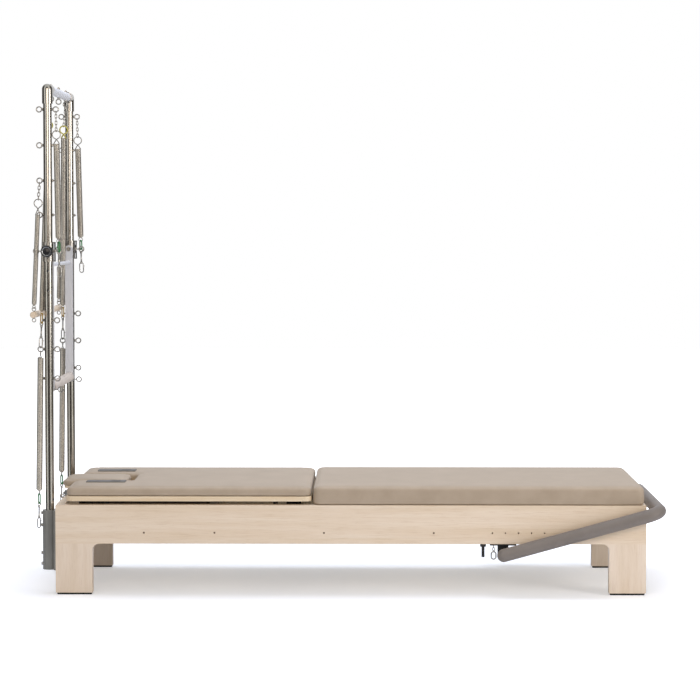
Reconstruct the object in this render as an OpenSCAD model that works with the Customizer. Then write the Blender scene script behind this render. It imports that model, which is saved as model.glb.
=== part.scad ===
/* [Frame] */
// Length of the wooden frame
frame_l = 2400; // [2200:10:2700]
// Overall width across the side rails
frame_w = 680; // [640:5:760]
// Thickness of the rails and end boards
plank_t = 35; // [30:1:42]
// Height of the rails' top edge above the floor
rail_top = 367; // [355:1:420]
// Depth of a side rail
rail_d = 158; // [150:1:170]
// Width of a leg
leg_w = 150; // [110:5:180]
// Radius where a leg meets its rail
leg_r = 29; // [10:1:45]
// Height of a leg's pad
pad_h = 8; // [4:1:12]
// How far a leg pad stands back from the faces of its leg
pad_in = 5; // [2:1:10]
// Height of the head end board's lower edge above the floor
head_board_low = 99; // [85:1:108]

/* [Tracks] */
// Thickness of the track's web and flange
track_t = 4; // [3:0.5:5]
// How far the track's flange reaches in from the rail
track_reach = 46; // [44:1:50]
// Height of the running surface above the rail's lower edge
run_rise = 61; // [59:1:66]
// Height of the track's web
track_web = 82; // [76:1:84]

/* [Carriage] */
// Gap between the head end of the frame and the carriage board
carriage_start = 42; // [36:1:60]
// Length of the carriage board
carriage_l = 1000; // [955:1:1003]
// Thickness of the carriage board
carriage_t = 20; // [16:1:22]
// Gap between the rails' top edge and the carriage board
carriage_lift = 15; // [14:1:20]
// Corner radius of the boards and pads seen from above
corner_r = 30; // [22:1:50]
// How far boards and pads stand back from the rails' outer faces
side_in = 2; // [1:0.5:6]
// Thickness of the carriage pad
pad_t = 39; // [32:1:44]
// Radius of a load wheel
wheel_r = 25; // [22:0.5:26]
// Width of a load wheel's tread
wheel_w = 18; // [14:1:20]
// Radius of a guide wheel
guide_r = 18; // [14:0.5:19]
// Thickness of a guide wheel
guide_w = 14; // [10:1:16]
// Distance of the wheel axles from the ends of the carriage board
axle_in = 74; // [60:1:90]
// Radius of a wheel axle
axle_r = 6; // [5:0.5:7]

/* [Headrest] */
// Length of the headrest
headrest_l = 269; // [240:1:275]
// Width of the headrest
headrest_w = 206; // [180:1:210]
// How far the headrest hangs over the frame's head end
headrest_over = 8; // [4:1:10]
// Thickness of the headrest's board
headrest_board_t = 10; // [8:1:12]
// Clear width of the pad's notch beside the headrest
notch_side = 13; // [10:1:20]
// Gap between the headrest and the pad behind it
notch_gap = 24; // [23:1:34]

/* [Mat] */
// Gap between the carriage and the mat
mat_gap = 5; // [4:1:12]
// How far the mat's end stands back from the frame's foot end
mat_end_in = 5; // [4:1:20]
// Height of the mat above the rails
mat_t = 76; // [62:1:80]
// Thickness of the mat's board
mat_board_t = 13; // [10:1:16]
// Thickness of the pad's skirt round the mat's board
skirt_t = 12; // [8:1:18]
// Depth of the cleats that locate the mat between the rails
cleat_d = 13; // [8:1:14]

/* [Foot bar] */
// Distance of the foot bar's pivot from the frame's foot end
footbar_back = 580; // [560:1:600]
// Height of the foot bar's pivot below the side rails
footbar_drop = 41; // [36:1:50]
// Length of the foot bar's arm from pivot to cross part
footbar_arm = 660; // [650:0.5:668]
// Slope of the arms when the bar is folded down
footbar_slope = 15.4; // [14.5:0.1:15.8]
// Distance between an arm's centreline and the rail's outer face
footbar_out = 32.5; // [30:0.5:40]
// Outer radius of the padded grip
grip_r = 26.5; // [20:0.5:27]
// Radius of the steel tube inside the grip
footbar_tube_r = 16; // [12:0.5:18]
// Bend radius at the foot bar's corners
footbar_bend = 60; // [50:1:80]

/* [Tower] */
// Outer radius of the tower's tubes
post_r = 17.5; // [16:0.5:18]
// Wall of the tower's tubes
tube_wall = 2.5; // [2:0.5:3]
// Distance between the two posts' axes
post_span = 593; // [580:1:600]
// Distance of the posts' axes from the frame's head end
post_out = 28; // [26:1:30]
// Height of the cross tube's axis above the floor
tower_h = 2053; // [2053:1:2080]
// Outer radius of the corner elbows
elbow_r = 21.5; // [20.5:0.5:22]
// Length of an elbow's sleeve from the corner
elbow_l = 59; // [50:1:70]
// Outer radius of a post socket
socket_r = 30; // [28:0.5:32]
// Height of a post socket
socket_h = 243; // [238:1:246]
// Mean radius of an eyebolt's ring
eye_ring_r = 10.5; // [9.5:0.1:10.5]
// Radius of an eyebolt's wire
eye_wire_r = 2.5; // [2:0.1:2.5]
// Distance from a tube's axis to the centre of an eyebolt's ring
eye_reach = 34; // [33:0.5:35]

/* [Push through bar] */
// Height of the push bar's pivot above the floor
pivot_z = 1397; // [1390:1:1400]
// Distance between two holes for the pull pins
hole_pitch = 80; // [78:1:80]
// Radius of the holes for the pull pins
pin_hole_r = 4.75; // [4:0.05:5]
// Outer radius of a collar
collar_r = 22; // [21:0.5:22.5]
// Width of an arm
arm_w = 33; // [28:1:33]
// Thickness of an arm
arm_t = 10; // [8:0.5:10]
// Distance from the pivot to the grip's axis
arm_l = 555; // [500:5:560]
// Outer radius of the push bar's padded grip
push_grip_r = 20; // [16:0.5:21]
// Radius of a pull knob
knob_r = 24.5; // [20:0.5:24.5]

/* [Springs and fittings] */
// Radius of the springs' wire
spring_wire_r = 1.75; // [1.4:0.05:1.9]
// Mean coil radius of the arm and leg springs
arm_coil_r = 10.7; // [9:0.1:10.8]
// Mean coil radius of the long springs
long_coil_r = 9.7; // [8.5:0.1:9.7]
// Mean coil radius of the roll down springs
roll_coil_r = 7.7; // [7:0.1:7.8]
// Mean radius of the big loop at the top of a spring
big_loop_r = 16.5; // [14:0.1:16.6]
// Length of the short chains that hang the springs
link_l = 74; // [70:1:78]
// Height of the crossed neck between a spring's top loop and its coil
spring_neck = 30; // [24:1:34]
// Length of a coloured clip
clip_l = 40; // [36:1:42]
// Length of a snap hook from its eye to its bend
snap_l = 105; // [100:1:106]
// Radius of the roll down bar
roll_r = 13; // [11:0.5:13]
// Length of the roll down bar
roll_l = 700; // [690:2:720]
// Height of the roll down bar above the floor
roll_z = 1140; // [1136:1:1144]

/* [Hidden] */

$fn = 48;

// Clearances
run_fit = 0.05;
seat = 0.2;
soft_gap = 0.3;
ring_gap = 0.3;

// Heights and faces of the frame
half_w = frame_w / 2;
rail_low = rail_top - rail_d;
rail_in = half_w - plank_t;
run_z = rail_low + run_rise;
track_low = rail_low + 33;
brace_w = 60;
brace_h = 30;
braces_x = [647, 1538];
screws_x = [360, 647, 1092, 1538];
screw_rise = 45;
screw_z = rail_low + screw_rise;
screw_head_r = 4;
screw_r = 2.5;
gear_back = 624;
gear_x = frame_l - gear_back;
gear_pitch = 53;
gear_hole_r = 3.2;
gear_bolt_r = 3;
spring_bar_s = 20;
spring_bar_x = gear_x + gear_pitch;

// Carriage, seen from the head end towards the foot end
carriage_x1 = carriage_start + carriage_l;
board_z = rail_top + carriage_lift;
board_top = board_z + carriage_t;
pad_low = board_top + soft_gap;
pad_top = pad_low + pad_t;
board_half = half_w - side_in;
head_axle_x = carriage_start + axle_in;
foot_axle_x = carriage_x1 - axle_in;
axle_z = run_z + wheel_r + seat;
wheel_y = rail_in - 26;
bracket_t = 4;
bracket_y = wheel_y - wheel_w / 2 - bracket_t - 4;
axle_end = wheel_y + wheel_w / 2 + 4;
guide_y = rail_in - track_t - guide_r - seat;
guide_step = 75;
guide_z = run_z + 30;
guide_bolt_r = 4;
rope_eye_y = 230;
rope_eye_x = carriage_start - 31;
rope_eye_z = board_z + 7;
hanger_x = carriage_start + 594;
hanger_z = board_z - 36;
hanger_r = 5;
carriage_spring_r = 12.5;
carriage_spring_l = 560;
carriage_spring_pitch = 80;

// Headrest
headrest_x0 = -headrest_over;
headrest_x1 = headrest_x0 + headrest_l;
headrest_z = board_top + 0.6;
hinge_x = headrest_x1 + 6;
hinge_r = 4.5;
hinge_z = board_top + hinge_r + 0.5;
notch_half = headrest_w / 2 + notch_side;
notch_x = headrest_x1 + notch_gap;
plate_l = 162;
plate_w = 60;
plate_t = 4;
plate_x = 107;
plate_y = 182;

// Mat
mat_x0 = carriage_x1 + mat_gap;
mat_x1 = frame_l - mat_end_in;
mat_low = rail_top + soft_gap;

// Foot bar
foot_pivot_x = frame_l - footbar_back;
foot_pivot_z = rail_low - footbar_drop;
foot_arm_y = half_w + footbar_out;
foot_pin_r = 8;
lug_t = 10;
lug_y = half_w - plank_t / 2;
footbar_end = footbar_arm - footbar_bend;
footbar_stud_x = foot_pivot_x - 81;
strap_hook_l = 40;

// Tower
post_x = -post_out;
post_y = post_span / 2;
post_low = head_board_low;
post_top = tower_h - post_r - 2;
cross_half = post_y - post_r - 2;
eye_rows = [[1971, 1, 1], [1826, 1, 0], [1683, 1, 0], [1544, 1, 0], [1116, 0, 1], [998, 1, 1], [879, 0, 1]];
eye_shank_r = 3;
arm_eye_z = eye_rows[0][0];
roll_eye_z = eye_rows[2][0];
leg_eye_z = eye_rows[5][0];
cross_eyes_y = [-200, 0, 200];
socket_bolts_z = [22, 66, 180, 230];
socket_bolt_r = 4;

// Push through bar
collar_low = pivot_z - 42;
collar_h = 79;
collar_eye = 50;
arm_y = post_y - 34.5;
pivot_r = 6;
rod_drop = 57;
rod_r = 7.5;
push_low = pivot_z - arm_l;
push_eye_z = push_low - 11;
ear_x = post_x + collar_r + 5;
boss_out = post_y + collar_r + 3;
knob_travel = 10;
knob_pin_r = pin_hole_r - 0.25;

// Hanging points, on the near side; the far side mirrors them
chain_links = 5;
link_w = 9;
link_wire_r = 1.6;
link_up = eye_wire_r + link_wire_r + ring_gap;
loop_up = link_wire_r + spring_wire_r + ring_gap;
loop_drop = link_l - link_up - loop_up;
arm_top = [post_x + eye_reach, -post_y, arm_eye_z];
arm_low = [arm_top[0] + 11, -post_y - 16, 1430];
leg_top = [post_x - eye_reach, -post_y, leg_eye_z];
leg_low = [leg_top[0] - 9, -post_y - 4, 403];
long_top = [post_x, cross_eyes_y[0], tower_h - eye_reach];
long_joint = [post_x - 22, cross_eyes_y[0] - 6, 1935];
long_low = leg_top;
roll_top = [post_x - eye_reach, -post_y, roll_eye_z];
roll_joint = [roll_top[0] - 3, -post_y - 13.5, roll_eye_z - eye_ring_r - loop_drop + 1];
roll_x = post_x - 55;
roll_y = post_y + 30.5;
roll_ring_r = 7.25;
roll_wire_r = 1.75;
roll_eye_up = roll_r + 9;
small_loop_r = 8;
long_loop_r = 6;

// The origin lies under the middle of the part's length
left_end = roll_x - roll_r;
right_end = foot_pivot_x + footbar_arm * cos(footbar_slope) + grip_r;
origin_x = (left_end + right_end) / 2;

maple = [0.87, 0.78, 0.66];
plywood = [0.84, 0.74, 0.58];
vinyl = [0.76, 0.73, 0.69];
vinyl_grey = [0.47, 0.45, 0.42];
steel = [0.66, 0.66, 0.65];
chrome = [0.8, 0.8, 0.82];
grey_paint = [0.43, 0.41, 0.39];
aluminium = [0.76, 0.77, 0.78];
black = [0.1, 0.1, 0.11];
rubber = [0.14, 0.14, 0.14];
green = [0.2, 0.55, 0.3];
mustard = [0.82, 0.65, 0.25];

// Vector and path helpers
function unit(v) = v / norm(v);
function arc(cx, cy, r, a0, a1, n) =
  [for (i = [0:n]) let(a = a0 + (a1 - a0) * i / n) [cx + r * cos(a), cy + r * sin(a)]];
function tangents(p) =
  [for (i = [0:len(p) - 1]) unit(p[min(i + 1, len(p) - 1)] - p[max(i - 1, 0)])];
function carried(t, n0) =
  [for (i = 0, n = unit(n0 - (n0 * t[0]) * t[0]); i < len(t);
    i = i + 1, n = i < len(t) ? unit(n - (n * t[i]) * t[i]) : n) n];
function tube_rings(p, r, sides) =
  let(t = tangents(p), n = carried(t, [0, 1, 0.01]))
  [for (i = [0:len(p) - 1]) let(b = cross(t[i], n[i]))
    [for (k = [0:sides - 1]) p[i] + r * (cos(360 * k / sides) * n[i] + sin(360 * k / sides) * b)]];

// A closed skin through rings of equal point count, each ring anticlockwise seen from the last one.
// Its ends are closed by the convex pieces in caps, which are lists of places along a ring.
module loft(rings, caps = []) {
  n = len(rings[0]);
  last = len(rings) - 1;
  pieces = len(caps) > 0 ? caps : [[for (j = [0:n - 1]) j]];
  polyhedron(
    points = [for (ring = rings) each ring],
    faces = concat(
      pieces,
      [for (i = [0:last - 1], j = [0:n - 1], half = [0:1])
        let(a = i * n + j, b = i * n + (j + 1) % n, c = b + n, d = a + n)
        half == 0 ? [a, d, c] : [a, c, b]],
      [for (piece = pieces) [for (j = [len(piece) - 1:-1:0]) last * n + piece[j]]]
    ),
    convexity = 8
  );
}

// The wire of a hanging spring: its two ends cross in the neck below the top loop and spread to the coil's
// edges; the coil closes on the axis above the bottom loop
function spring_path(l, coil_r, top_r, neck, low_r, curls) =
  let(
    turn_end = 360 * curls,
    z0 = -2 * top_r - neck,
    z1 = 2 * low_r - l,
    taper = 360,
    lean = atan2(top_r + neck, coil_r) - asin(top_r / norm([coil_r, top_r + neck])),
    cross_z = z0 + coil_r * tan(lean),
    beside = spring_wire_r + 0.5,
    steps = round(8 * curls)
  )
  concat(
    [[-coil_r, beside, z0], [0, beside, cross_z]],
    [for (i = [0:10]) let(a = lean + (360 - 2 * lean) * i / 10)
      [top_r * sin(a), 0, -top_r - top_r * cos(a)]],
    [[0, -beside, cross_z]],
    [for (i = [0:steps])
      let(a = turn_end * i / steps, r = coil_r * sin(90 * min(1, (turn_end - a) / taper)))
      [r * cos(a), r * sin(a), z0 + (z1 - z0) * i / steps]],
    [for (i = [1:8]) let(a = 310 * i / 8, s = -low_r * sin(a))
      [s * cos(turn_end), s * sin(turn_end), -l + low_r + low_r * cos(a)]]
  );
function least_gap(p) =
  min([for (i = [0:len(p) - 5], j = [i + 4:len(p) - 1]) norm(p[i] - p[j])]) - 2 * spring_wire_r;

// Puts the frame's head end at its place, then the part's origin under its middle
module place() {
  translate([-origin_x, 0, 0]) children();
}
// The near side is y below 0; the far side is its mirror image
module both() {
  children();
  mirror([0, 1, 0]) children();
}
// Children hang down from the point top, along the line to the point low
module hang(top, low) {
  d = low - top;
  l = norm(d);
  a = asin(d[1] / l);
  translate(top) rotate([a, -atan2(d[0], -d[2]), 0]) children();
}
// A slab with round corners seen from above
module round_slab(x0, x1, w, r, z0, z1) {
  translate([x0, -w / 2, z0]) linear_extrude(z1 - z0) round_rect(x1 - x0, w, r);
}
module round_rect(l, w, r) {
  translate([r, 0]) square([l - 2 * r, w]);
  translate([0, r]) square([l, w - 2 * r]);
  for (x = [r, l - r], y = [r, w - r]) translate([x, y]) circle(r);
}
// A cylinder along +Y from y0 to y1
module across(x, y0, y1, z, r) {
  translate([x, y0, z]) rotate([-90, 0, 0]) cylinder(h = y1 - y0, r = r);
}
// A ring whose hole runs along Y
module ring_y(mean_r, wire_r) {
  rotate([90, 0, 0]) rotate_extrude() translate([mean_r, 0]) circle(wire_r, $fn = 24);
}

// Frame
module rail_outline() {
  l = frame_l;
  open_h = rail_low - pad_h;
  open_l = l - 2 * leg_w;
  difference() {
    translate([0, pad_h]) round_rect(l, rail_top - pad_h, 4);
    translate([leg_w + leg_r, pad_h - 1]) square([open_l - 2 * leg_r, open_h + 1]);
    translate([leg_w, pad_h - 1]) square([open_l, open_h + 1 - leg_r]);
    for (x = [leg_w + leg_r, l - leg_w - leg_r]) translate([x, pad_h + open_h - leg_r]) circle(leg_r);
  }
}
module side_rail() {
  color(maple) difference() {
    translate([0, -rail_in, 0]) rotate([90, 0, 0]) linear_extrude(plank_t) rail_outline();
    for (x = screws_x) {
      across(x, -half_w - 1, -half_w + 5, screw_z, screw_head_r);
      across(x, -half_w - 1, -rail_in + 1, screw_z, screw_r);
    }
    for (i = [0:4]) across(gear_x + i * gear_pitch, -half_w - 1, -rail_in + 1, screw_z, gear_hole_r);
    translate([footbar_stud_x, -lug_y, rail_low - 1]) cylinder(h = 13, r = 5);
    translate([footbar_stud_x + 43, -lug_y, rail_low - 1]) cylinder(h = 11, r = 2);
  }
}
module near_side_rail() place() side_rail();
module far_side_rail() place() mirror([0, 1, 0]) side_rail();

module head_end_board() place() color(maple) difference() {
  translate([0, -rail_in, head_board_low]) cube([plank_t, 2 * rail_in, rail_top - head_board_low]);
  both() for (z = socket_bolts_z)
    translate([-1, -post_y, post_low + z]) rotate([0, 90, 0]) cylinder(h = 26, r = socket_bolt_r);
}
module foot_end_board() place() color(maple)
  translate([frame_l - plank_t, -rail_in, rail_low]) cube([plank_t, 2 * rail_in, rail_d]);
module cross_braces() place() color(plywood) for (x = braces_x)
  translate([x - brace_w / 2, -rail_in, rail_low + 1]) cube([brace_w, 2 * rail_in, brace_h]);

module track() {
  web_top = track_low + track_web;
  color(aluminium) difference() {
    translate([plank_t, -rail_in, 0]) rotate([90, 0, 90]) linear_extrude(frame_l - 2 * plank_t) {
      translate([0, track_low]) square([track_t, track_web]);
      translate([0, run_z - track_t]) square([track_reach, track_t]);
      translate([track_reach - 3, run_z - track_t]) square([3, track_t + 7]);
      translate([track_t, web_top - 3]) square([3, 3]);
    }
    for (x = screws_x) across(x, -rail_in - 1, -rail_in + track_t + 1, screw_z, screw_r);
    for (i = [0:4])
      across(gear_x + i * gear_pitch, -rail_in - 1, -rail_in + track_t + 1, screw_z, gear_hole_r);
  }
}
module near_track() place() track();
module far_track() place() mirror([0, 1, 0]) track();

module leg_pads() place() color(rubber) both() for (x = [0, frame_l - leg_w])
  translate([x + pad_in, -half_w + pad_in, 0]) linear_extrude(pad_h)
    round_rect(leg_w - 2 * pad_in, plank_t - 2 * pad_in, 4);

module rail_screws() place() color("saddlebrown") both() {
  for (x = screws_x) {
    across(x, -half_w, -half_w + 5, screw_z, screw_head_r);
    across(x, -half_w + 4.9, -rail_in + track_t + 2, screw_z, screw_r);
  }
  across(spring_bar_x, -half_w + 1, -rail_in + track_t + 12, screw_z, gear_bolt_r);
}

module spring_bar() place() color(steel) {
  bar_half = rail_in - track_t;
  difference() {
    translate([spring_bar_x - spring_bar_s / 2, -bar_half, screw_z - spring_bar_s / 2])
      cube([spring_bar_s, 2 * bar_half, spring_bar_s]);
    both() across(spring_bar_x, -bar_half - 1, -bar_half + 14, screw_z, gear_bolt_r);
  }
  for (i = [-2:2]) translate([spring_bar_x, i * carriage_spring_pitch, screw_z + spring_bar_s / 2 - 0.5]) {
    cylinder(h = 7, r = 3);
    translate([0, 0, 6]) cylinder(h = 2, r = 6);
  }
}

// Foot bar brackets, one under each rail, with the black stud beside it
module footbar_bracket() {
  plate_l = 106;
  difference() {
    union() {
      translate([foot_pivot_x - plate_l / 2, -lug_y - plank_t / 2 + 2, rail_low - 6])
        cube([plate_l, plank_t - 4, 6]);
      translate([foot_pivot_x - 22, -lug_y - lug_t / 2, foot_pivot_z])
        cube([44, lug_t, footbar_drop - 5]);
      across(foot_pivot_x, -lug_y - lug_t / 2, -lug_y + lug_t / 2, foot_pivot_z, 22);
    }
    across(foot_pivot_x, -lug_y - lug_t, -lug_y + lug_t, foot_pivot_z, foot_pin_r + run_fit);
    translate([footbar_stud_x + 43, -lug_y, rail_low - 7]) cylinder(h = 8, r = 2);
  }
  translate([footbar_stud_x, -lug_y, 0]) {
    translate([0, 0, rail_low - 12]) cylinder(h = 12, r = 12);
    translate([0, 0, rail_low - 55]) cylinder(h = 44, r = 6);
    translate([0, 0, rail_low - 1]) cylinder(h = 12, r = 5);
  }
}
module footbar_brackets() place() color(black) both() footbar_bracket();

// A snap hook on an eye under each rail
module strap_hooks() place() color(chrome) both() translate([footbar_stud_x + 43, -lug_y, rail_low]) {
  translate([0, 0, -13]) ring_y(4.5, 1.5);
  translate([0, 0, -8.6]) cylinder(h = 18, r = 1.9);
  translate([0, 0, -16]) rotate([0, 0, 90]) snap_hook(strap_hook_l, 0.5);
}

// Tower
module post_socket() {
  color(grey_paint) difference() {
    union() {
      intersection() {
        translate([post_x, -post_y, post_low]) cylinder(h = socket_h, r = socket_r, $fn = 96);
        translate([post_x - 60, -post_y - 60, post_low - 1]) cube([60 + post_out, 120, socket_h + 2]);
      }
      translate([-8, -post_y - 42, post_low]) cube([8, 84, socket_h]);
    }
    translate([post_x, -post_y, post_low + 6]) cylinder(h = socket_h, r = post_r + 0.1, $fn = 96);
    for (z = socket_bolts_z)
      translate([post_x - 50, -post_y, post_low + z]) rotate([0, 90, 0]) cylinder(h = 90, r = socket_bolt_r);
  }
}
module near_post_socket() place() post_socket();
module far_post_socket() place() mirror([0, 1, 0]) post_socket();

module socket_bolts() place() color(steel) both() for (z = socket_bolts_z)
  translate([post_x - socket_r, -post_y, post_low + z]) rotate([0, 90, 0]) {
    translate([0, 0, -6]) cylinder(h = 6, r = 6.5);
    translate([0, 0, -0.1]) cylinder(h = socket_r + post_out + 24, r = socket_bolt_r - 0.1);
  }

module tower_post() {
  color(steel) difference() {
    translate([post_x, -post_y, post_low + 6]) cylinder(h = post_top - post_low - 6, r = post_r, $fn = 96);
    translate([post_x, -post_y, post_low + 5])
      cylinder(h = post_top - post_low, r = post_r - tube_wall, $fn = 96);
    for (z = socket_bolts_z)
      translate([post_x - 30, -post_y, post_low + z]) rotate([0, 90, 0]) cylinder(h = 60, r = socket_bolt_r);
    for (row = eye_rows)
      translate([post_x - 30, -post_y, row[0]]) rotate([0, 90, 0]) cylinder(h = 60, r = eye_shank_r + 0.1);
    for (i = [0:2]) across(post_x, -post_y - 30, -post_y + 30, pivot_z - i * hole_pitch, pin_hole_r);
  }
}
module near_post() place() tower_post();
module far_post() place() mirror([0, 1, 0]) tower_post();

module corner_elbows() place() color(steel) both() difference() {
  union() {
    translate([post_x, -post_y, tower_h - elbow_l]) cylinder(h = elbow_l, r = elbow_r, $fn = 96);
    translate([post_x, -post_y, tower_h]) sphere(r = elbow_r, $fn = 96);
    across(post_x, -post_y, -post_y + elbow_l, tower_h, elbow_r);
  }
  translate([post_x, -post_y, tower_h - elbow_l - 1]) cylinder(h = elbow_l - post_r, r = post_r + 0.05, $fn = 96);
  across(post_x, -post_y + post_r + 1, -post_y + elbow_l + 1, tower_h, post_r + 0.05);
}

module top_cross_tube() place() color(steel) difference() {
  across(post_x, -cross_half, cross_half, tower_h, post_r);
  across(post_x, -cross_half - 1, cross_half + 1, tower_h, post_r - tube_wall);
  for (y = cross_eyes_y) translate([post_x, y, tower_h - 30]) cylinder(h = 60, r = eye_shank_r + 0.1);
}

// An eyebolt along +X through a tube of radius r, its ring to the right, and a nut or a second ring to the left
module eyebolt(r, second) {
  shank = eye_reach - eye_ring_r;
  translate([eye_reach, 0, 0]) ring_y(eye_ring_r, eye_wire_r);
  translate([r + 0.1, 0, 0]) rotate([0, 90, 0]) cylinder(h = 3, r = 6.5);
  if (second) {
    translate([-shank, 0, 0]) rotate([0, 90, 0]) cylinder(h = 2 * shank, r = eye_shank_r);
    translate([-eye_reach, 0, 0]) ring_y(eye_ring_r, eye_wire_r);
    translate([-r - 3.1, 0, 0]) rotate([0, 90, 0]) cylinder(h = 3, r = 6.5);
  } else {
    translate([-r - 9, 0, 0]) rotate([0, 90, 0]) cylinder(h = shank + r + 9, r = eye_shank_r);
    translate([-r - 5.1, 0, 0]) rotate([0, 90, 0]) cylinder(h = 5, r = 6, $fn = 6);
  }
}
module tower_eyebolts() place() color(steel) {
  both() for (row = eye_rows) translate([post_x, -post_y, row[0]])
    rotate([0, 0, row[2] == 1 ? 0 : 180]) eyebolt(post_r, row[1] + row[2] == 2);
  for (y = cross_eyes_y) translate([post_x, y, tower_h]) rotate([0, 90, 0]) eyebolt(post_r, false);
}

// An oval link or clip in the YZ plane, its top centreline drop below the hanging point
module oval_link(drop, l, w, wire_r) {
  r = w / 2;
  translate([0, 0, -drop - r]) rotate([90, 0, 90]) rotate_extrude(angle = 180)
    translate([r, 0]) circle(wire_r, $fn = 24);
  translate([0, 0, -drop - l + r]) rotate([90, 180, 90]) rotate_extrude(angle = 180)
    translate([r, 0]) circle(wire_r, $fn = 24);
  for (s = [-r, r]) translate([0, s, -drop - l + r - 0.01]) cylinder(h = l - 2 * r + 0.02, r = wire_r, $fn = 24);
}

// A short chain of turned links, l long, whose first link rides on a ring's wire centred at the origin
module chain(l) {
  pitch = (l - 2 * link_wire_r - ring_gap) / chain_links;
  for (i = [0:chain_links - 1]) translate([0, 0, link_up - i * pitch]) rotate([0, 0, 90 * (i % 2)])
    oval_link(0, pitch + 2 * link_wire_r + ring_gap, link_w, link_wire_r);
}

// A snap hook: swivel eye in the XZ plane, barrel, body, hook, gate and thumb stud. Its eye's top
// centreline is at the origin and its bend's is l below; k scales its girth, turn swivels its hook.
module snap_hook(l, k, turn = 0) {
  eye_r = 7 * k;
  wire = 2 * k;
  bend_r = 8 * k;
  hook_top = -l + 42 * k;
  straight = hook_top - 2 * bend_r + l + 0.02;
  translate([0, 0, -eye_r]) ring_y(eye_r, wire);
  rotate([0, 0, turn]) {
    translate([0, 0, -2 * eye_r - 8 * k]) cylinder(h = 8.5 * k, r = 5 * k);
    translate([0, 0, hook_top - 2 * k]) cylinder(h = -2 * eye_r - 5 * k - hook_top, r = 3.2 * k);
    translate([0, 0, hook_top - 4 * k]) cylinder(h = 8 * k, r = 5.5 * k);
    translate([0, 0, hook_top - bend_r]) rotate([90, 0, 0]) rotate_extrude(angle = 180)
      translate([bend_r, 0]) circle(wire, $fn = 24);
    translate([-bend_r, 0, -l + bend_r - 0.01]) cylinder(h = straight, r = wire, $fn = 24);
    translate([bend_r, 0, -l + bend_r - 0.01]) cylinder(h = straight, r = wire * 0.8, $fn = 24);
    translate([0, 0, -l + bend_r]) rotate([90, 180, 0]) rotate_extrude(angle = 180)
      translate([bend_r, 0]) circle(wire, $fn = 24);
    translate([bend_r, 0, hook_top - bend_r - 5 * k]) rotate([0, 90, 0]) cylinder(h = 5 * k, r = 1.6 * k);
  }
}

// A spring whose top loop lies in the XZ plane, turned about the line it hangs on
module spring(top, low, turn, coil_r, top_r, neck, low_r, curls) {
  path = spring_path(norm(low - top), coil_r, top_r, neck, low_r, curls);
  echo(least_gap_to_itself = least_gap(path));
  hang(top, low) rotate([0, 0, turn]) loft(tube_rings(path, spring_wire_r, 5));
}
function along(top, low, s) = top + s * unit(low - top);
// Where something that leads to the point low hangs on the wire of the eyebolt ring centred at eye
function on_ring(eye, low) = eye + eye_ring_r * unit([low[0] - eye[0], 0, low[2] - eye[2]]);

// Arm springs hang on short chains from the upper right eyebolts, with a clip and a snap hook below
arm_hang = on_ring(arm_top, arm_low);
arm_joint = along(arm_hang, arm_low, loop_drop);
arm_curls = 6;
clip_up = spring_wire_r + 2.5 + ring_gap;
snap_up = 2.5 + 2 + ring_gap;
module arm_spring() color(steel)
  spring(arm_joint, arm_low, 0, arm_coil_r, big_loop_r, spring_neck, small_loop_r, arm_curls);
module arm_hardware() hang(arm_hang, arm_low) {
  reach = norm(arm_low - arm_hang);
  color(steel) chain(link_l);
  color(green) oval_link(reach - clip_up, clip_l, 15, 2.5);
  color(chrome) translate([0, 0, -(reach - clip_up + clip_l - snap_up)]) snap_hook(snap_l, 1);
}
module near_arm_spring() place() arm_spring();
module near_arm_hardware() place() arm_hardware();
module far_arm_spring() place() mirror([0, 1, 0]) arm_spring();
module far_arm_hardware() place() mirror([0, 1, 0]) arm_hardware();

// Leg springs hang straight on the lower left eyebolts
leg_hang = on_ring(leg_top, leg_low);
leg_start = along(leg_hang, leg_low, -eye_wire_r - spring_wire_r - ring_gap);
leg_loop_r = 9;
leg_neck = 10;
leg_curls = 8.25;
module leg_spring() color(steel)
  spring(leg_start, leg_low, 90, arm_coil_r, leg_loop_r, leg_neck, small_loop_r, leg_curls);
module leg_hardware() hang(leg_hang, leg_low) {
  reach = norm(leg_low - leg_hang);
  color(green) oval_link(reach - clip_up, clip_l, 15, 2.5);
  color(chrome) translate([0, 0, -(reach - clip_up + clip_l - snap_up)]) snap_hook(snap_l, 1, 90);
}
module near_leg_spring() place() leg_spring();
module near_leg_hardware() place() leg_hardware();
module far_leg_spring() place() mirror([0, 1, 0]) leg_spring();
module far_leg_hardware() place() mirror([0, 1, 0]) leg_hardware();

// Long springs are stowed between the cross tube's eyebolts and the posts' lower left eyebolts
long_curls = 10;
long_hang = on_ring(long_top, long_joint);
long_reach = norm(long_low - long_joint) - eye_ring_r + eye_wire_r + 2 + ring_gap;
long_spring_l = long_reach - snap_l - clip_l + clip_up + snap_up;
long_end = along(long_joint, long_low, long_spring_l);
module long_springs() place() color(steel) both()
  spring(long_joint, long_end, 0, long_coil_r, big_loop_r, spring_neck, long_loop_r, long_curls);
module long_spring_hardware() place() both() {
  color(steel) hang(long_hang, long_joint) chain(norm(long_joint - long_hang) + link_up + loop_up);
  hang(long_joint, long_low) {
    color(mustard) oval_link(long_spring_l - clip_up, clip_l, 15, 2.5);
    color(chrome) translate([0, 0, -(long_spring_l - clip_up + clip_l - snap_up)]) snap_hook(snap_l, 1, 90);
  }
}

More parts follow.
